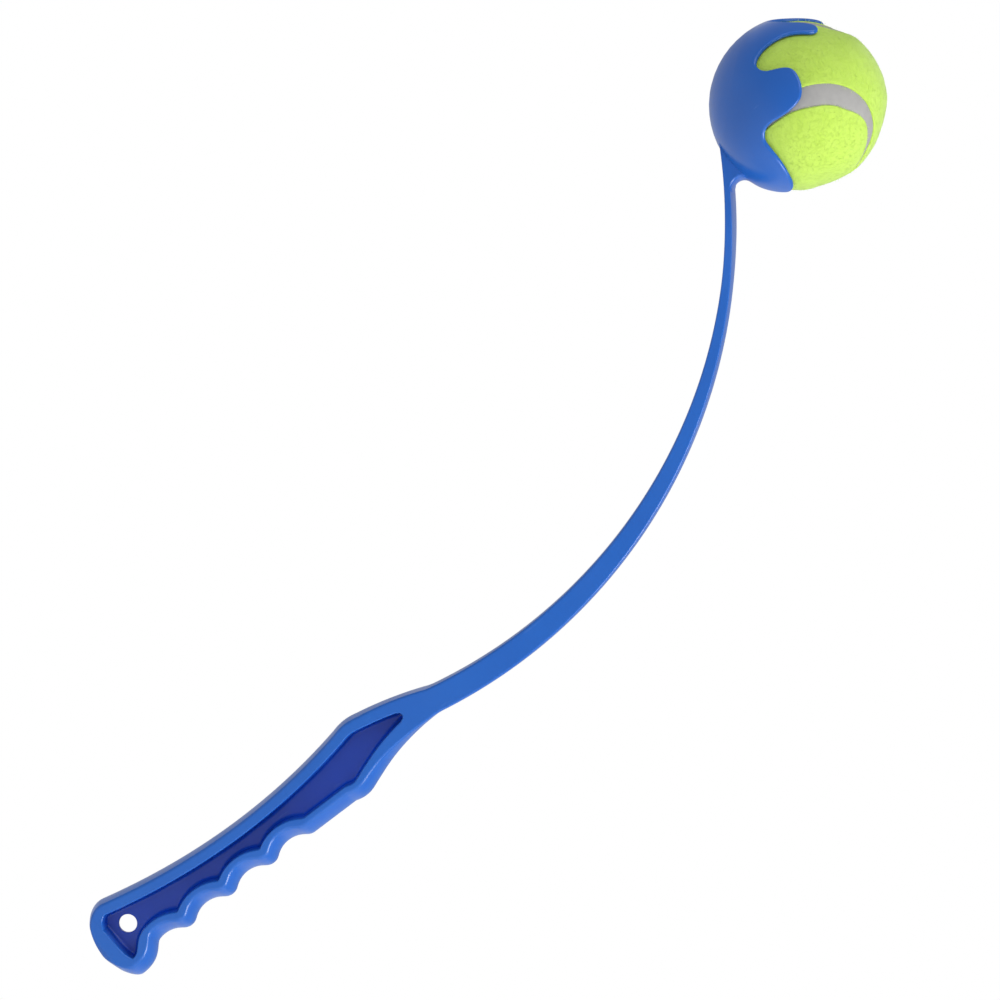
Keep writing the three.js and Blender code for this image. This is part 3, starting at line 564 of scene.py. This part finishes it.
def cup_skin():
    """The cup: a spherical wall that ends in the crown's edge with a half-round rim."""
    columns, wall_rows = 336, 12
    edge = crown_edge(columns)
    rim = CUP_WALL / 2
    middle = CUP_INNER + rim
    base_angle = math.radians(NOTCH_ANGLE) * BACK_SHARE
    feet = []
    for k, tip in enumerate(edge):
        tangent = edge[(k + 1) % columns] - edge[k - 1]
        outwards = tip.cross(tangent).normalized()
        foot = (tip - outwards * (rim / middle)).normalized()
        base_turn = 2 * math.pi * k / columns
        foot_turn = math.atan2(foot.y, foot.x)
        foot_turn += 2 * math.pi * round((base_turn - foot_turn) / (2 * math.pi))
        feet.append((outwards, foot, base_turn, foot_turn, math.acos(-foot.z)))

    def wall_ring(share, radius):
        return [HEAD @ (towards(lerp(base_angle, polar, share), lerp(base_turn, foot_turn, share)) * radius)
                for outwards, foot, base_turn, foot_turn, polar in feet]

    def cap_ring(share, radius):
        return [HEAD @ (towards(base_angle * share, base_turn) * radius)
                for outwards, foot, base_turn, *rest in feet]

    rings = [cap_ring(share, CUP_OUTER) for share in BACK_ROWS]
    rings += [wall_ring(row / wall_rows, CUP_OUTER) for row in range(wall_rows + 1)]
    for turn in range(15, 180, 15):
        lift = middle + rim * math.cos(math.radians(turn))
        reach = rim * math.sin(math.radians(turn))
        rings.append([HEAD @ (foot * lift + outwards * reach) for outwards, foot, *rest in feet])
    rings += [wall_ring(row / wall_rows, CUP_INNER) for row in range(wall_rows, -1, -1)]
    rings += [cap_ring(share, CUP_INNER) for share in reversed(BACK_ROWS)]
    poles = [HEAD @ Vector((0, 0, -CUP_OUTER)), HEAD @ Vector((0, 0, -CUP_INNER))]
    return skin("cup", rings, poles)


def fillet_slice(side, recess):
    """One slice of the concave fillet between the shaft's finger side and the cup."""
    shaft_face = BEND_RADIUS + shaft_half_thickness(FLARE_END)
    to_fillet = shaft_face + NECK_FILLET
    cup_to_fillet = math.sqrt(CUP_OUTER ** 2 - side ** 2) + NECK_FILLET
    cosine = (CUP_REACH ** 2 + to_fillet ** 2 - cup_to_fillet ** 2) / (2 * CUP_REACH * to_fillet)
    bearing = CUP_BEARING - math.acos(cosine)

    def from_bend(radius, angle):
        return (BEND_CENTRE[0] + radius * math.cos(angle), BEND_CENTRE[1] + radius * math.sin(angle))

    x, z = from_bend(to_fillet, bearing)
    start = math.atan2(BEND_CENTRE[1] - z, BEND_CENTRE[0] - x) + 2 * math.pi
    end = math.atan2(CUP_CENTRE[1] - z, CUP_CENTRE[0] - x)
    radius = NECK_FILLET + recess
    angles = [lerp(start, end, step / 18) for step in range(19)]
    outline = [(x + radius * math.cos(angle), z + radius * math.sin(angle)) for angle in angles]
    inwards = Vector(CUP_CENTRE) - Vector(outline[-1])
    outline.append(tuple(Vector(outline[-1]) + inwards.normalized() * CUP_WALL))
    outline.append(from_bend(BEND_RADIUS, CUP_BEARING - CUP_WALL / BEND_RADIUS))
    outline.append(from_bend(BEND_RADIUS, bearing))
    return [Vector((a, side, b)) for a, b in outline]


def neck_fillet_rings():
    straight = NECK_WIDTH / 2 - EDGE_ROUND
    turns = [math.radians(turn) for turn in (18, 36, 54, 72, 90)]
    edges = [(straight + EDGE_ROUND * math.sin(turn), EDGE_ROUND * (1 - math.cos(turn))) for turn in turns]
    slices = [(-side, recess) for side, recess in reversed(edges)]
    slices += [(straight * step / 8, 0) for step in range(-8, 9)] + edges
    return [fillet_slice(side, recess) for side, recess in slices]


def hollow_sphere():
    """The room inside the cup's wall, which the neck must not enter."""
    radius = CUP_INNER + CUP_WALL / 2
    rows, columns = 48, 96
    rings = [[HEAD @ (towards(math.pi * row / rows, 2 * math.pi * step / columns) * radius)
              for step in range(columns)] for row in range(1, rows)]
    return skin("cup_room", rings, [HEAD @ Vector((0, 0, -radius)), HEAD @ Vector((0, 0, radius))])


def combined(name, base, steps):
    """The base after each boolean step, as a plain object."""
    for tool, operation in steps:
        step = base.modifiers.new(tool.name, "BOOLEAN")
        step.object = tool
        step.operation = operation
        step.solver = "EXACT"
    mesh = evaluated_mesh(base)
    for tool in [base] + [tool for tool, operation in steps]:
        bpy.data.objects.remove(tool)
    return new_object(name, mesh)


def smoothed(piece, crease=32):
    """Smooth shading with creases kept, weighted so that flat faces stay flat."""
    piece.data.shade_smooth()
    piece.data.set_sharp_from_angle(angle=math.radians(crease))
    weigh = piece.modifiers.new("weighted_normals", "WEIGHTED_NORMAL")
    weigh.keep_sharp = True
    weigh.weight = 80
    mesh = evaluated_mesh(piece)
    piece.modifiers.clear()
    piece.data = mesh
    return piece


def mark_pocket_shade(piece):
    """Marks the floors and walls of the pockets for the painted shade in the material: 1 at the web,
    falling to 0 at the rim.
    """
    margin, fade = 2.0, 1.0
    marks = piece.data.attributes.new("recess", "FLOAT", "POINT")
    for vertex, mark in zip(piece.data.vertices, marks.data):
        x, side, height = vertex.co / MM
        reach = x - beside_spine(height, 0, 0).x
        across = margin - palm_reach(height) < reach < finger_reach(height) - margin
        in_pocket = across and height < POCKET_TIP + fade
        mark.value = smoothstep(abs(side), GRIP_THICKNESS / 2 - fade, WEB_THICKNESS) if in_pocket else 0
    return piece


def thrower_piece():
    wand = skin("wand", [section_ring(station) for station in wand_stations()])
    far = pocket_rings()
    near = [[Vector((point.x, -point.y, point.z)) for point in ring] for ring in far]
    return mark_pocket_shade(smoothed(combined("thrower_moulding", wand, [
        (skin("near_pocket", near), "DIFFERENCE"),
        (skin("far_pocket", far), "DIFFERENCE"),
        (skin("hang_hole", hang_hole_rings()), "DIFFERENCE"),
        (skin("neck_fillet", neck_fillet_rings()), "UNION"),
        (hollow_sphere(), "DIFFERENCE"),
        (cup_skin(), "UNION"),
    ])))


# The ball's own frame, turned in the cup as the seam lies in the photograph
BALL = HEAD @ BALL_TURN.to_matrix().to_4x4()


def seam_direction(turn):
    """The closed curve of a tennis ball's seam, as a direction."""
    waist = 1 - SEAM_SHAPE
    return Vector((
        SEAM_SHAPE * math.cos(turn) + waist * math.cos(3 * turn),
        SEAM_SHAPE * math.sin(turn) - waist * math.sin(3 * turn),
        2 * math.sqrt(SEAM_SHAPE * waist) * math.sin(2 * turn),
    ))


def beside_seam(turn, offset):
    """A direction beside the seam: offset is the distance on the ball's surface, towards panel a."""
    step = 0.001
    tangent = seam_direction(turn + step) - seam_direction(turn - step)
    here = seam_direction(turn)
    return (here + here.cross(tangent).normalized() * math.tan(offset / BALL_RADIUS)).normalized()


def seam_cover(turn, half_turn):
    """How far a panel's felt lies over the seam; panel b follows the seam the other way round."""
    at = math.degrees(turn) * (1, -1)[half_turn]
    return max(depth * smoothstep(1 - abs((at - middle + 180) % 360 - 180) / span, 0, COVER_EASE)
               for depth, middle, span in SEAM_COVERS[half_turn])


def felt_fullness(direction):
    """How far the brushed felt stands off the ball's round shape."""
    lift = FELT_PUFF * smoothstep(direction.dot(FULL_SIDE), *PUFF_SPAN)
    press = FELT_PRESS * smoothstep(-direction.dot(UP), *PRESS_SPAN)
    lumps = FELT_LUMPS * noise.noise(direction * LUMPS_SCALE)
    out = HEAD.to_3x3().inverted() @ direction
    return (lift - press + lumps) * smoothstep(out.z, *CLOTH_CLEAR)


def felt_panel(name, half_turn):
    """A felt panel: rings from its rounded edge to a line along its middle, outside and inside."""
    columns, rows = 240, 16
    turns = [2 * math.pi * (step + 0.5) / columns for step in range(columns)]
    place = BALL @ Euler((math.pi * half_turn, 0, 0)).to_matrix().to_4x4()
    inner = BALL_RADIUS - FELT_THICKNESS
    half_seam = SEAM_WIDTH / 2
    middle_span, heading = math.radians(84), 3 * math.pi / 4

    def middle_of(turn):
        along = middle_span * math.sin(turn - math.pi / 4)
        across = math.sin(along)
        return Vector((across * math.cos(heading), across * math.sin(heading), math.cos(along)))

    def ring(offset, share, radius):
        found = []
        for turn in turns:
            edge = beside_seam(turn, offset - seam_cover(turn, half_turn))
            out = edge.lerp(middle_of(turn), share).normalized()
            fullness = felt_fullness(place.to_3x3() @ out) if radius > inner else 0
            found.append(place @ (out * (radius + fullness)))
        return found

    shares = [(row + 1) / rows for row in range(rows)]
    rings = [ring(half_seam + FELT_EDGE_ROUND, share, BALL_RADIUS) for share in reversed(shares)]
    for turn in (0, 22, 45, 67, 90):
        angle = math.radians(turn)
        rings.append(ring(half_seam + FELT_EDGE_ROUND * (1 - math.sin(angle)), 0,
                          BALL_RADIUS - FELT_EDGE_ROUND * (1 - math.cos(angle))))
    rings += [ring(half_seam + FELT_EDGE_ROUND, share, inner) for share in [0] + shares]
    points = [point for row in rings for point in row]
    faces = []
    for row in range(len(rings) - 1):
        for j in range(columns):
            a, b = row * columns + j, row * columns + (j + 1) % columns
            faces.append((a, b, b + columns, a + columns))
    made = mesh_object(name, points, faces)
    weld = made.modifiers.new("weld", "WELD")
    weld.merge_threshold = 0.02 * MM
    return smoothed(made, crease=60)


def seam_piece():
    """The rubber seam: a closed band between the two panels, slightly below the felt and crowned."""
    steps = 360
    inner = BALL_RADIUS - FELT_THICKNESS
    shares = [k / 5 for k in range(-5, 6)]
    section = [(share, BALL_RADIUS - SEAM_SINK - SEAM_CROWN * share ** 4) for share in shares]
    section += [(1, inner), (-1, inner)]
    points, faces = [], []
    count = len(section)
    for step in range(steps):
        turn = 2 * math.pi * step / steps
        for k, (share, radius) in enumerate(section):
            cover = seam_cover(turn, 0) if share > 0 else seam_cover(-turn, 1)
            out = beside_seam(turn, share * (SEAM_WIDTH / 2 - cover))
            fullness = felt_fullness(BALL.to_3x3() @ out) if radius > inner else 0
            points.append(BALL @ (out * (radius + fullness)))
            a, b = step * count + k, step * count + (k + 1) % count
            ahead = ((step + 1) % steps) * count - step * count
            faces.append((a, b, b + ahead, a + ahead))
    return smoothed(mesh_object("seam_band_rubber", points, faces))


def node(tree, kind, inputs=None, **settings):
    """Adds a node; each input is a value or the socket that feeds it."""
    made = tree.nodes.new(kind)
    for key, value in settings.items():
        setattr(made, key, value)
    for key, value in (inputs or {}).items():
        if isinstance(value, bpy.types.NodeSocket):
            tree.links.new(value, made.inputs[key])
        else:
            made.inputs[key].default_value = value
    return made


def blank_material(name):
    material = bpy.data.materials.new(name)
    material.use_nodes = True
    material.node_tree.nodes.clear()
    return material, material.node_tree


def finished(material, surface):
    node(material.node_tree, "ShaderNodeOutputMaterial", {"Surface": surface})
    return material


def object_place(tree):
    return node(tree, "ShaderNodeTexCoord").outputs["Object"]


def speckle(tree, place, size_in_mm, detail, **more):
    """Noise whose features are this many millimetres across."""
    inputs = {"Vector": place, "Scale": 1 / (size_in_mm * MM), "Detail": detail, **more}
    return node(tree, "ShaderNodeTexNoise", inputs).outputs["Fac"]


def two_colours(tree, share, first, second):
    """A mix of two colours, each a value or the socket that feeds it."""
    inputs = {"Factor": share, 6: first, 7: second}
    return node(tree, "ShaderNodeMix", inputs, data_type="RGBA").outputs[2]


def relief(tree, height, strength, depth_in_mm, **more):
    """A bump of this depth; Normal is the relief below it."""
    inputs = {"Height": height, "Strength": strength, "Distance": depth_in_mm * MM, **more}
    return node(tree, "ShaderNodeBump", inputs).outputs["Normal"]


def ranged(tree, value, from_min, from_max, to_min=0.0, to_max=1.0):
    """A value taken from one range to another, and held at its ends."""
    return node(tree, "ShaderNodeMapRange", {
        "Value": value, "From Min": from_min, "From Max": from_max,
        "To Min": to_min, "To Max": to_max}).outputs["Result"]


def moulded_polypropylene():
    """Injection-moulded polypropylene: even blue with painted shade in the pockets, satin gloss, flow
    waves, scuffs and a parting line.
    """
    material, tree = blank_material("moulded_polypropylene_blue")
    place = object_place(tree)
    tint = two_colours(tree, speckle(tree, place, 30, 2.0), linear("1256AF"), linear("1860BA"))
    # Painted shade: the floors and walls of the pockets are tinted a deeper blue, which stands in for the
    # shade inside them.
    recess = node(tree, "ShaderNodeAttribute", attribute_name="recess").outputs["Fac"]
    pocket_shaded_tint = two_colours(tree, recess, tint, linear("124ABE"))
    # Scuffs from use: thin, pale and duller, four times as wide as real ones so that they still show
    stretched = node(tree, "ShaderNodeMapping", {
        "Vector": place, "Rotation": (0.4, 0.3, 0.6), "Scale": (1, 1, 0.12)}).outputs["Vector"]
    scuffs = ranged(tree, speckle(tree, stretched, 2.4, 3.0, Roughness=0.7), 0.66, 0.78, 0.0, 0.15)
    scuffed = two_colours(tree, scuffs, pocket_shaded_tint, linear("6F9BE0"))
    waves = speckle(tree, place, 14, 0.0)
    gloss = ranged(tree, waves, 0.3, 0.7, 0.28, 0.34)
    dulled = node(tree, "ShaderNodeMath", {0: gloss, 1: scuffs}, operation="ADD").outputs[0]
    # The mould's parting line runs round the middle plane, 0.3 mm wide.
    side = node(tree, "ShaderNodeSeparateXYZ", {"Vector": place}).outputs["Y"]
    from_middle = node(tree, "ShaderNodeMath", {0: side}, operation="ABSOLUTE").outputs[0]
    line = ranged(tree, from_middle, 0.05 * MM, 0.25 * MM, 1.0, 0.0)
    slow = relief(tree, waves, 0.06, 0.4)
    fine = relief(tree, speckle(tree, place, 0.45, 3.0), 0.04, 0.03, Normal=slow)
    parting = relief(tree, line, 0.6, 0.08, Normal=fine)
    shader = node(tree, "ShaderNodeBsdfPrincipled", {
        "Base Color": scuffed, "Roughness": dulled, "IOR": 1.49, "Normal": parting})
    return finished(material, shader.outputs["BSDF"])


def needle_felt(name, sunk_share):
    """Brushed needle felt: bright yellow-green wool and nylon, matt, with a soft sheen and mottling."""
    material, tree = blank_material(name)
    place = object_place(tree)
    patches = speckle(tree, place, 5, 3.0, Distortion=0.6)
    fluff = speckle(tree, place, 0.7, 4.0, Distortion=1.2)
    broad = two_colours(tree, patches, linear("C4E85A"), linear("DAF87E"))
    speckled = two_colours(tree, fluff, linear("C0E354"), broad)
    shader = node(tree, "ShaderNodeBsdfPrincipled", {
        "Base Color": speckled, "Roughness": 0.95, "IOR": 1.5, "Sheen Weight": 0.35,
        "Sheen Roughness": 0.5, "Specular IOR Level": 0.2, "Normal": relief(tree, fluff, 0.12, 0.3)})
    # Light sinks into the thick cloth and is lost, so the fibres on it look no darker than the cloth.
    sunk = node(tree, "ShaderNodeBsdfTranslucent", {"Color": speckled})
    both = node(tree, "ShaderNodeMixShader", {
        0: sunk_share, 1: shader.outputs["BSDF"], 2: sunk.outputs["BSDF"]})
    return finished(material, both.outputs["Shader"])


def seam_rubber():
    """Vulcanised seam rubber: pale grey, matt, faintly pitted."""
    material, tree = blank_material("vulcanised_seam_rubber")
    place = object_place(tree)
    tint = two_colours(tree, speckle(tree, place, 3, 4.0), linear("929190"), linear("A4A3A1"))
    pits = relief(tree, speckle(tree, place, 0.5, 2.0), 0.25, 0.08)
    shader = node(tree, "ShaderNodeBsdfPrincipled", {
        "Base Color": tint, "Roughness": 0.62, "IOR": 1.52, "Normal": pits})
    return finished(material, shader.outputs["BSDF"])


def core_rubber():
    """Moulded natural rubber of the core: mid grey and matt."""
    material, tree = blank_material("moulded_core_rubber")
    clouds = speckle(tree, object_place(tree), 6, 3.0)
    tint = two_colours(tree, clouds, linear("666967"), linear("747775"))
    shader = node(tree, "ShaderNodeBsdfPrincipled", {"Base Color": tint, "Roughness": 0.8, "IOR": 1.52})
    return finished(material, shader.outputs["BSDF"])


def nap_tree(dyed_with):
    """Geometry nodes that lay short bent fibres over a felt panel, standing higher outside the cup."""
    tree = bpy.data.node_groups.new("felt_nap", "GeometryNodeTree")
    for name, in_out, kind, value in (
            ("Geometry", "INPUT", "Geometry", None),
            ("Geometry", "OUTPUT", "Geometry", None),
            ("Fibres per square metre", "INPUT", "Float", NAP_DENSITY),
            ("Fibre length", "INPUT", "Float", NAP_LENGTH),
            ("Rise in the cup", "INPUT", "Float", NAP_RISE_INSIDE),
            ("Rise in the open", "INPUT", "Float", NAP_RISE_OPEN),
            ("Seed", "INPUT", "Int", PLACE_SEED)):
        socket = tree.interface.new_socket(name, in_out=in_out, socket_type="NodeSocket" + kind)
        if value is not None:
            socket.default_value = value
    given = node(tree, "NodeGroupInput").outputs
    place = node(tree, "GeometryNodeInputPosition").outputs["Position"]
    centre = HEAD.translation * MM
    from_centre = node(
        tree, "ShaderNodeVectorMath", {0: place, 1: centre}, operation="SUBTRACT").outputs["Vector"]
    reach = node(tree, "ShaderNodeVectorMath", {0: from_centre}, operation="LENGTH").outputs["Value"]
    outside = node(tree, "FunctionNodeCompare", {0: reach, 1: NAP_FROM * MM}).outputs["Result"]
    spread = node(tree, "GeometryNodeDistributePointsOnFaces", {
        "Mesh": given["Geometry"], "Selection": outside,
        "Density": given["Fibres per square metre"], "Seed": given["Seed"]}).outputs
    towards_mouth = node(
        tree, "ShaderNodeVectorMath", {0: from_centre, 1: MOUTH}, operation="DOT_PRODUCT").outputs["Value"]
    low, high = [BALL_RADIUS * share * MM for share in NAP_CLEAR]
    rise = ranged(tree, towards_mouth, low, high, given["Rise in the cup"], given["Rise in the open"])
    fibre_size = node(tree, "ShaderNodeCombineXYZ", {
        "X": given["Fibre length"], "Y": given["Fibre length"], "Z": rise}).outputs[0]
    vary = node(tree, "FunctionNodeRandomValue", {
        2: 0.6, 3: 1.0, "Seed": LENGTH_SEED}, data_type="FLOAT").outputs[1]
    varied = node(
        tree, "ShaderNodeVectorMath", {0: fibre_size, "Scale": vary}, operation="SCALE").outputs["Vector"]
    heading = node(tree, "FunctionNodeRandomValue", {
        2: 0.0, 3: 2 * math.pi, "Seed": HEADING_SEED}, data_type="FLOAT").outputs[1]
    spin = node(tree, "FunctionNodeAxisAngleToRotation", {"Axis": (0, 0, 1), "Angle": heading})
    turned = node(tree, "FunctionNodeRotateRotation", {
        "Rotation": spread["Rotation"], "Rotate By": spin.outputs["Rotation"]}, rotation_space="LOCAL")
    arch = node(tree, "GeometryNodeCurveQuadraticBezier", {"Resolution": 2, **NAP_ARCH})
    section = node(tree, "GeometryNodeCurvePrimitiveCircle", {
        "Resolution": 3, "Radius": NAP_THICKNESS_SHARE / 2})
    strand = node(tree, "GeometryNodeCurveToMesh", {
        "Curve": arch.outputs["Curve"], "Profile Curve": section.outputs["Curve"], "Fill Caps": True})
    laid = node(tree, "GeometryNodeInstanceOnPoints", {
        "Points": spread["Points"], "Instance": strand.outputs["Mesh"],
        "Rotation": turned.outputs["Rotation"], "Scale": varied})
    real = node(tree, "GeometryNodeRealizeInstances", {"Geometry": laid.outputs["Instances"]})
    dyed = node(tree, "GeometryNodeSetMaterial", {
        "Geometry": real.outputs["Geometry"], "Material": dyed_with})
    node(tree, "NodeGroupOutput", {"Geometry": dyed.outputs["Geometry"]})
    return tree


def felt_nap(name, cloth, tree, seed):
    """The fibres of one felt panel as a plain object of their own."""
    made = new_object(name, cloth.data.copy())
    grown = made.modifiers.new("felt_nap", "NODES")
    grown.node_group = tree
    for socket in tree.interface.items_tree:
        if socket.name == "Seed":
            grown[socket.identifier] = seed
    mesh = evaluated_mesh(made)
    made.modifiers.clear()
    made.data = mesh
    mesh.shade_smooth()
    return made


def add_camera():
    camera = new_object("camera", bpy.data.cameras.new("camera"))
    camera.data.sensor_width = SENSOR
    camera.data.lens = SENSOR * DISTANCE / FIELD
    camera.data.clip_end = 50
    camera.matrix_world = Matrix.Translation(TARGET + BACKWARD * DISTANCE) @ Matrix(
        (RIGHT, UP, BACKWARD)).transposed().to_4x4()
    bpy.context.scene.camera = camera


def add_softbox(name, direction, distance, size, level):
    """A square soft lamp aimed at the middle of the object; level is its share of full light there."""
    lamp = bpy.data.lights.new(name, "AREA")
    lamp.size = size
    lamp.energy = level * (math.pi * distance) ** 2
    new_object(name, lamp).matrix_world = Matrix.Translation(TARGET + direction.normalized() * distance) @ (
        direction.to_track_quat("Z", "Y").to_matrix().to_4x4())


def add_studio():
    """A white sweep behind the object and a dimmer room round it, as its gloss reflects them."""
    world = bpy.data.worlds.new("studio")
    bpy.context.scene.world = world
    world.use_nodes = True
    tree = world.node_tree
    rays = node(tree, "ShaderNodeLightPath").outputs
    place = node(tree, "ShaderNodeTexCoord").outputs["Generated"]
    behind = node(
        tree, "ShaderNodeVectorMath", {0: place, 1: SWEEP_MIDDLE}, operation="DOT_PRODUCT").outputs["Value"]
    sweep = ranged(tree, behind, *SWEEP_SPAN, ROOM_IN_GLOSS, 1.0)
    lighting = node(tree, "ShaderNodeMix", {
        0: rays["Is Glossy Ray"], 2: ROOM_LIGHT, 3: sweep}).outputs[0]
    seen = node(tree, "ShaderNodeMath", {
        0: rays["Is Camera Ray"], 1: rays["Is Transmission Ray"]}, operation="MAXIMUM").outputs[0]
    level = node(tree, "ShaderNodeMix", {0: seen, 2: lighting, 3: 1.0}).outputs[0]
    background = tree.nodes["Background"]
    tree.links.new(level, background.inputs["Strength"])
    background.inputs["Color"].default_value = (1, 1, 1, 1)


def add_floor():
    """A pale floor below the butt that turns to the white of the background further out."""
    mesh = bpy.data.meshes.new("floor")
    height = CAD_BOX[0][2] - FLOOR_DROP
    corners = [(-1, -1), (1, -1), (1, 1), (-1, 1)]
    mesh.from_pydata([(x * FLOOR_REACH, y * FLOOR_REACH, height) for x, y in corners], [], [(0, 1, 2, 3)])
    floor = new_object("floor", mesh)
    material, tree = blank_material("pale_paper_floor")
    out = node(tree, "ShaderNodeVectorMath", {0: object_place(tree)}, operation="LENGTH").outputs["Value"]
    seen = node(tree, "ShaderNodeLightPath").outputs["Is Camera Ray"]
    share = node(tree, "ShaderNodeMath", {0: ranged(tree, out, *FLOOR_FADE), 1: seen}, operation="MULTIPLY")
    paper = node(tree, "ShaderNodeBsdfDiffuse", {"Color": linear("F4F4F4")})
    white = node(tree, "ShaderNodeEmission", {"Color": (1, 1, 1, 1), "Strength": 1.0})
    mixed = node(tree, "ShaderNodeMixShader", {
        0: share.outputs[0], 1: paper.outputs[0], 2: white.outputs[0]})
    mesh.materials.append(finished(material, mixed.outputs[0]))


def dress(piece, body, slot, material, *nodes):
    """Gives a piece its material and its place in the part."""
    piece.data.materials.clear()
    piece.data.materials.append(material)
    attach(piece, body)
    if nodes:
        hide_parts(*nodes)


add_camera()
add_studio()
add_floor()
add_softbox("key_softbox", 0.8 * RIGHT - 0.6 * UP + 0.45 * BACKWARD, distance=1.4, size=0.6, level=0.85)
add_softbox("top_softbox", Vector((-0.3, -0.5, 1.0)), distance=1.4, size=1.0, level=0.38)

bpy.context.scene.view_settings.view_transform = "Standard"

POLYPROPYLENE = moulded_polypropylene()
FELT = needle_felt("brushed_needle_felt", 0.18)
LOOSE_FIBRES = needle_felt("loose_felt_fibres", 0.0)
RUBBER = seam_rubber()
CORE = core_rubber()
NAP = nap_tree(LOOSE_FIBRES)

dress(thrower_piece(), "wand", "wand_plastic", POLYPROPYLENE, "thrower")
dress(seam_piece(), "ball", "seam_rubber", RUBBER, "seam_band")
for letter, half_turn in (("a", 0), ("b", 1)):
    panel = felt_panel("felt_panel_" + letter + "_cloth", half_turn)
    dress(panel, "ball", "ball_felt", FELT, "felt_panel_" + letter)
    nap = felt_nap("felt_nap_" + letter, panel, NAP, PLACE_SEED + half_turn)
    dress(nap, "ball", "ball_felt", LOOSE_FIBRES)
for name in ("ball_core_half_a", "ball_core_half_b"):
    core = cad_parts[name]
    core.data.materials.clear()
    core.data.materials.append(CORE)
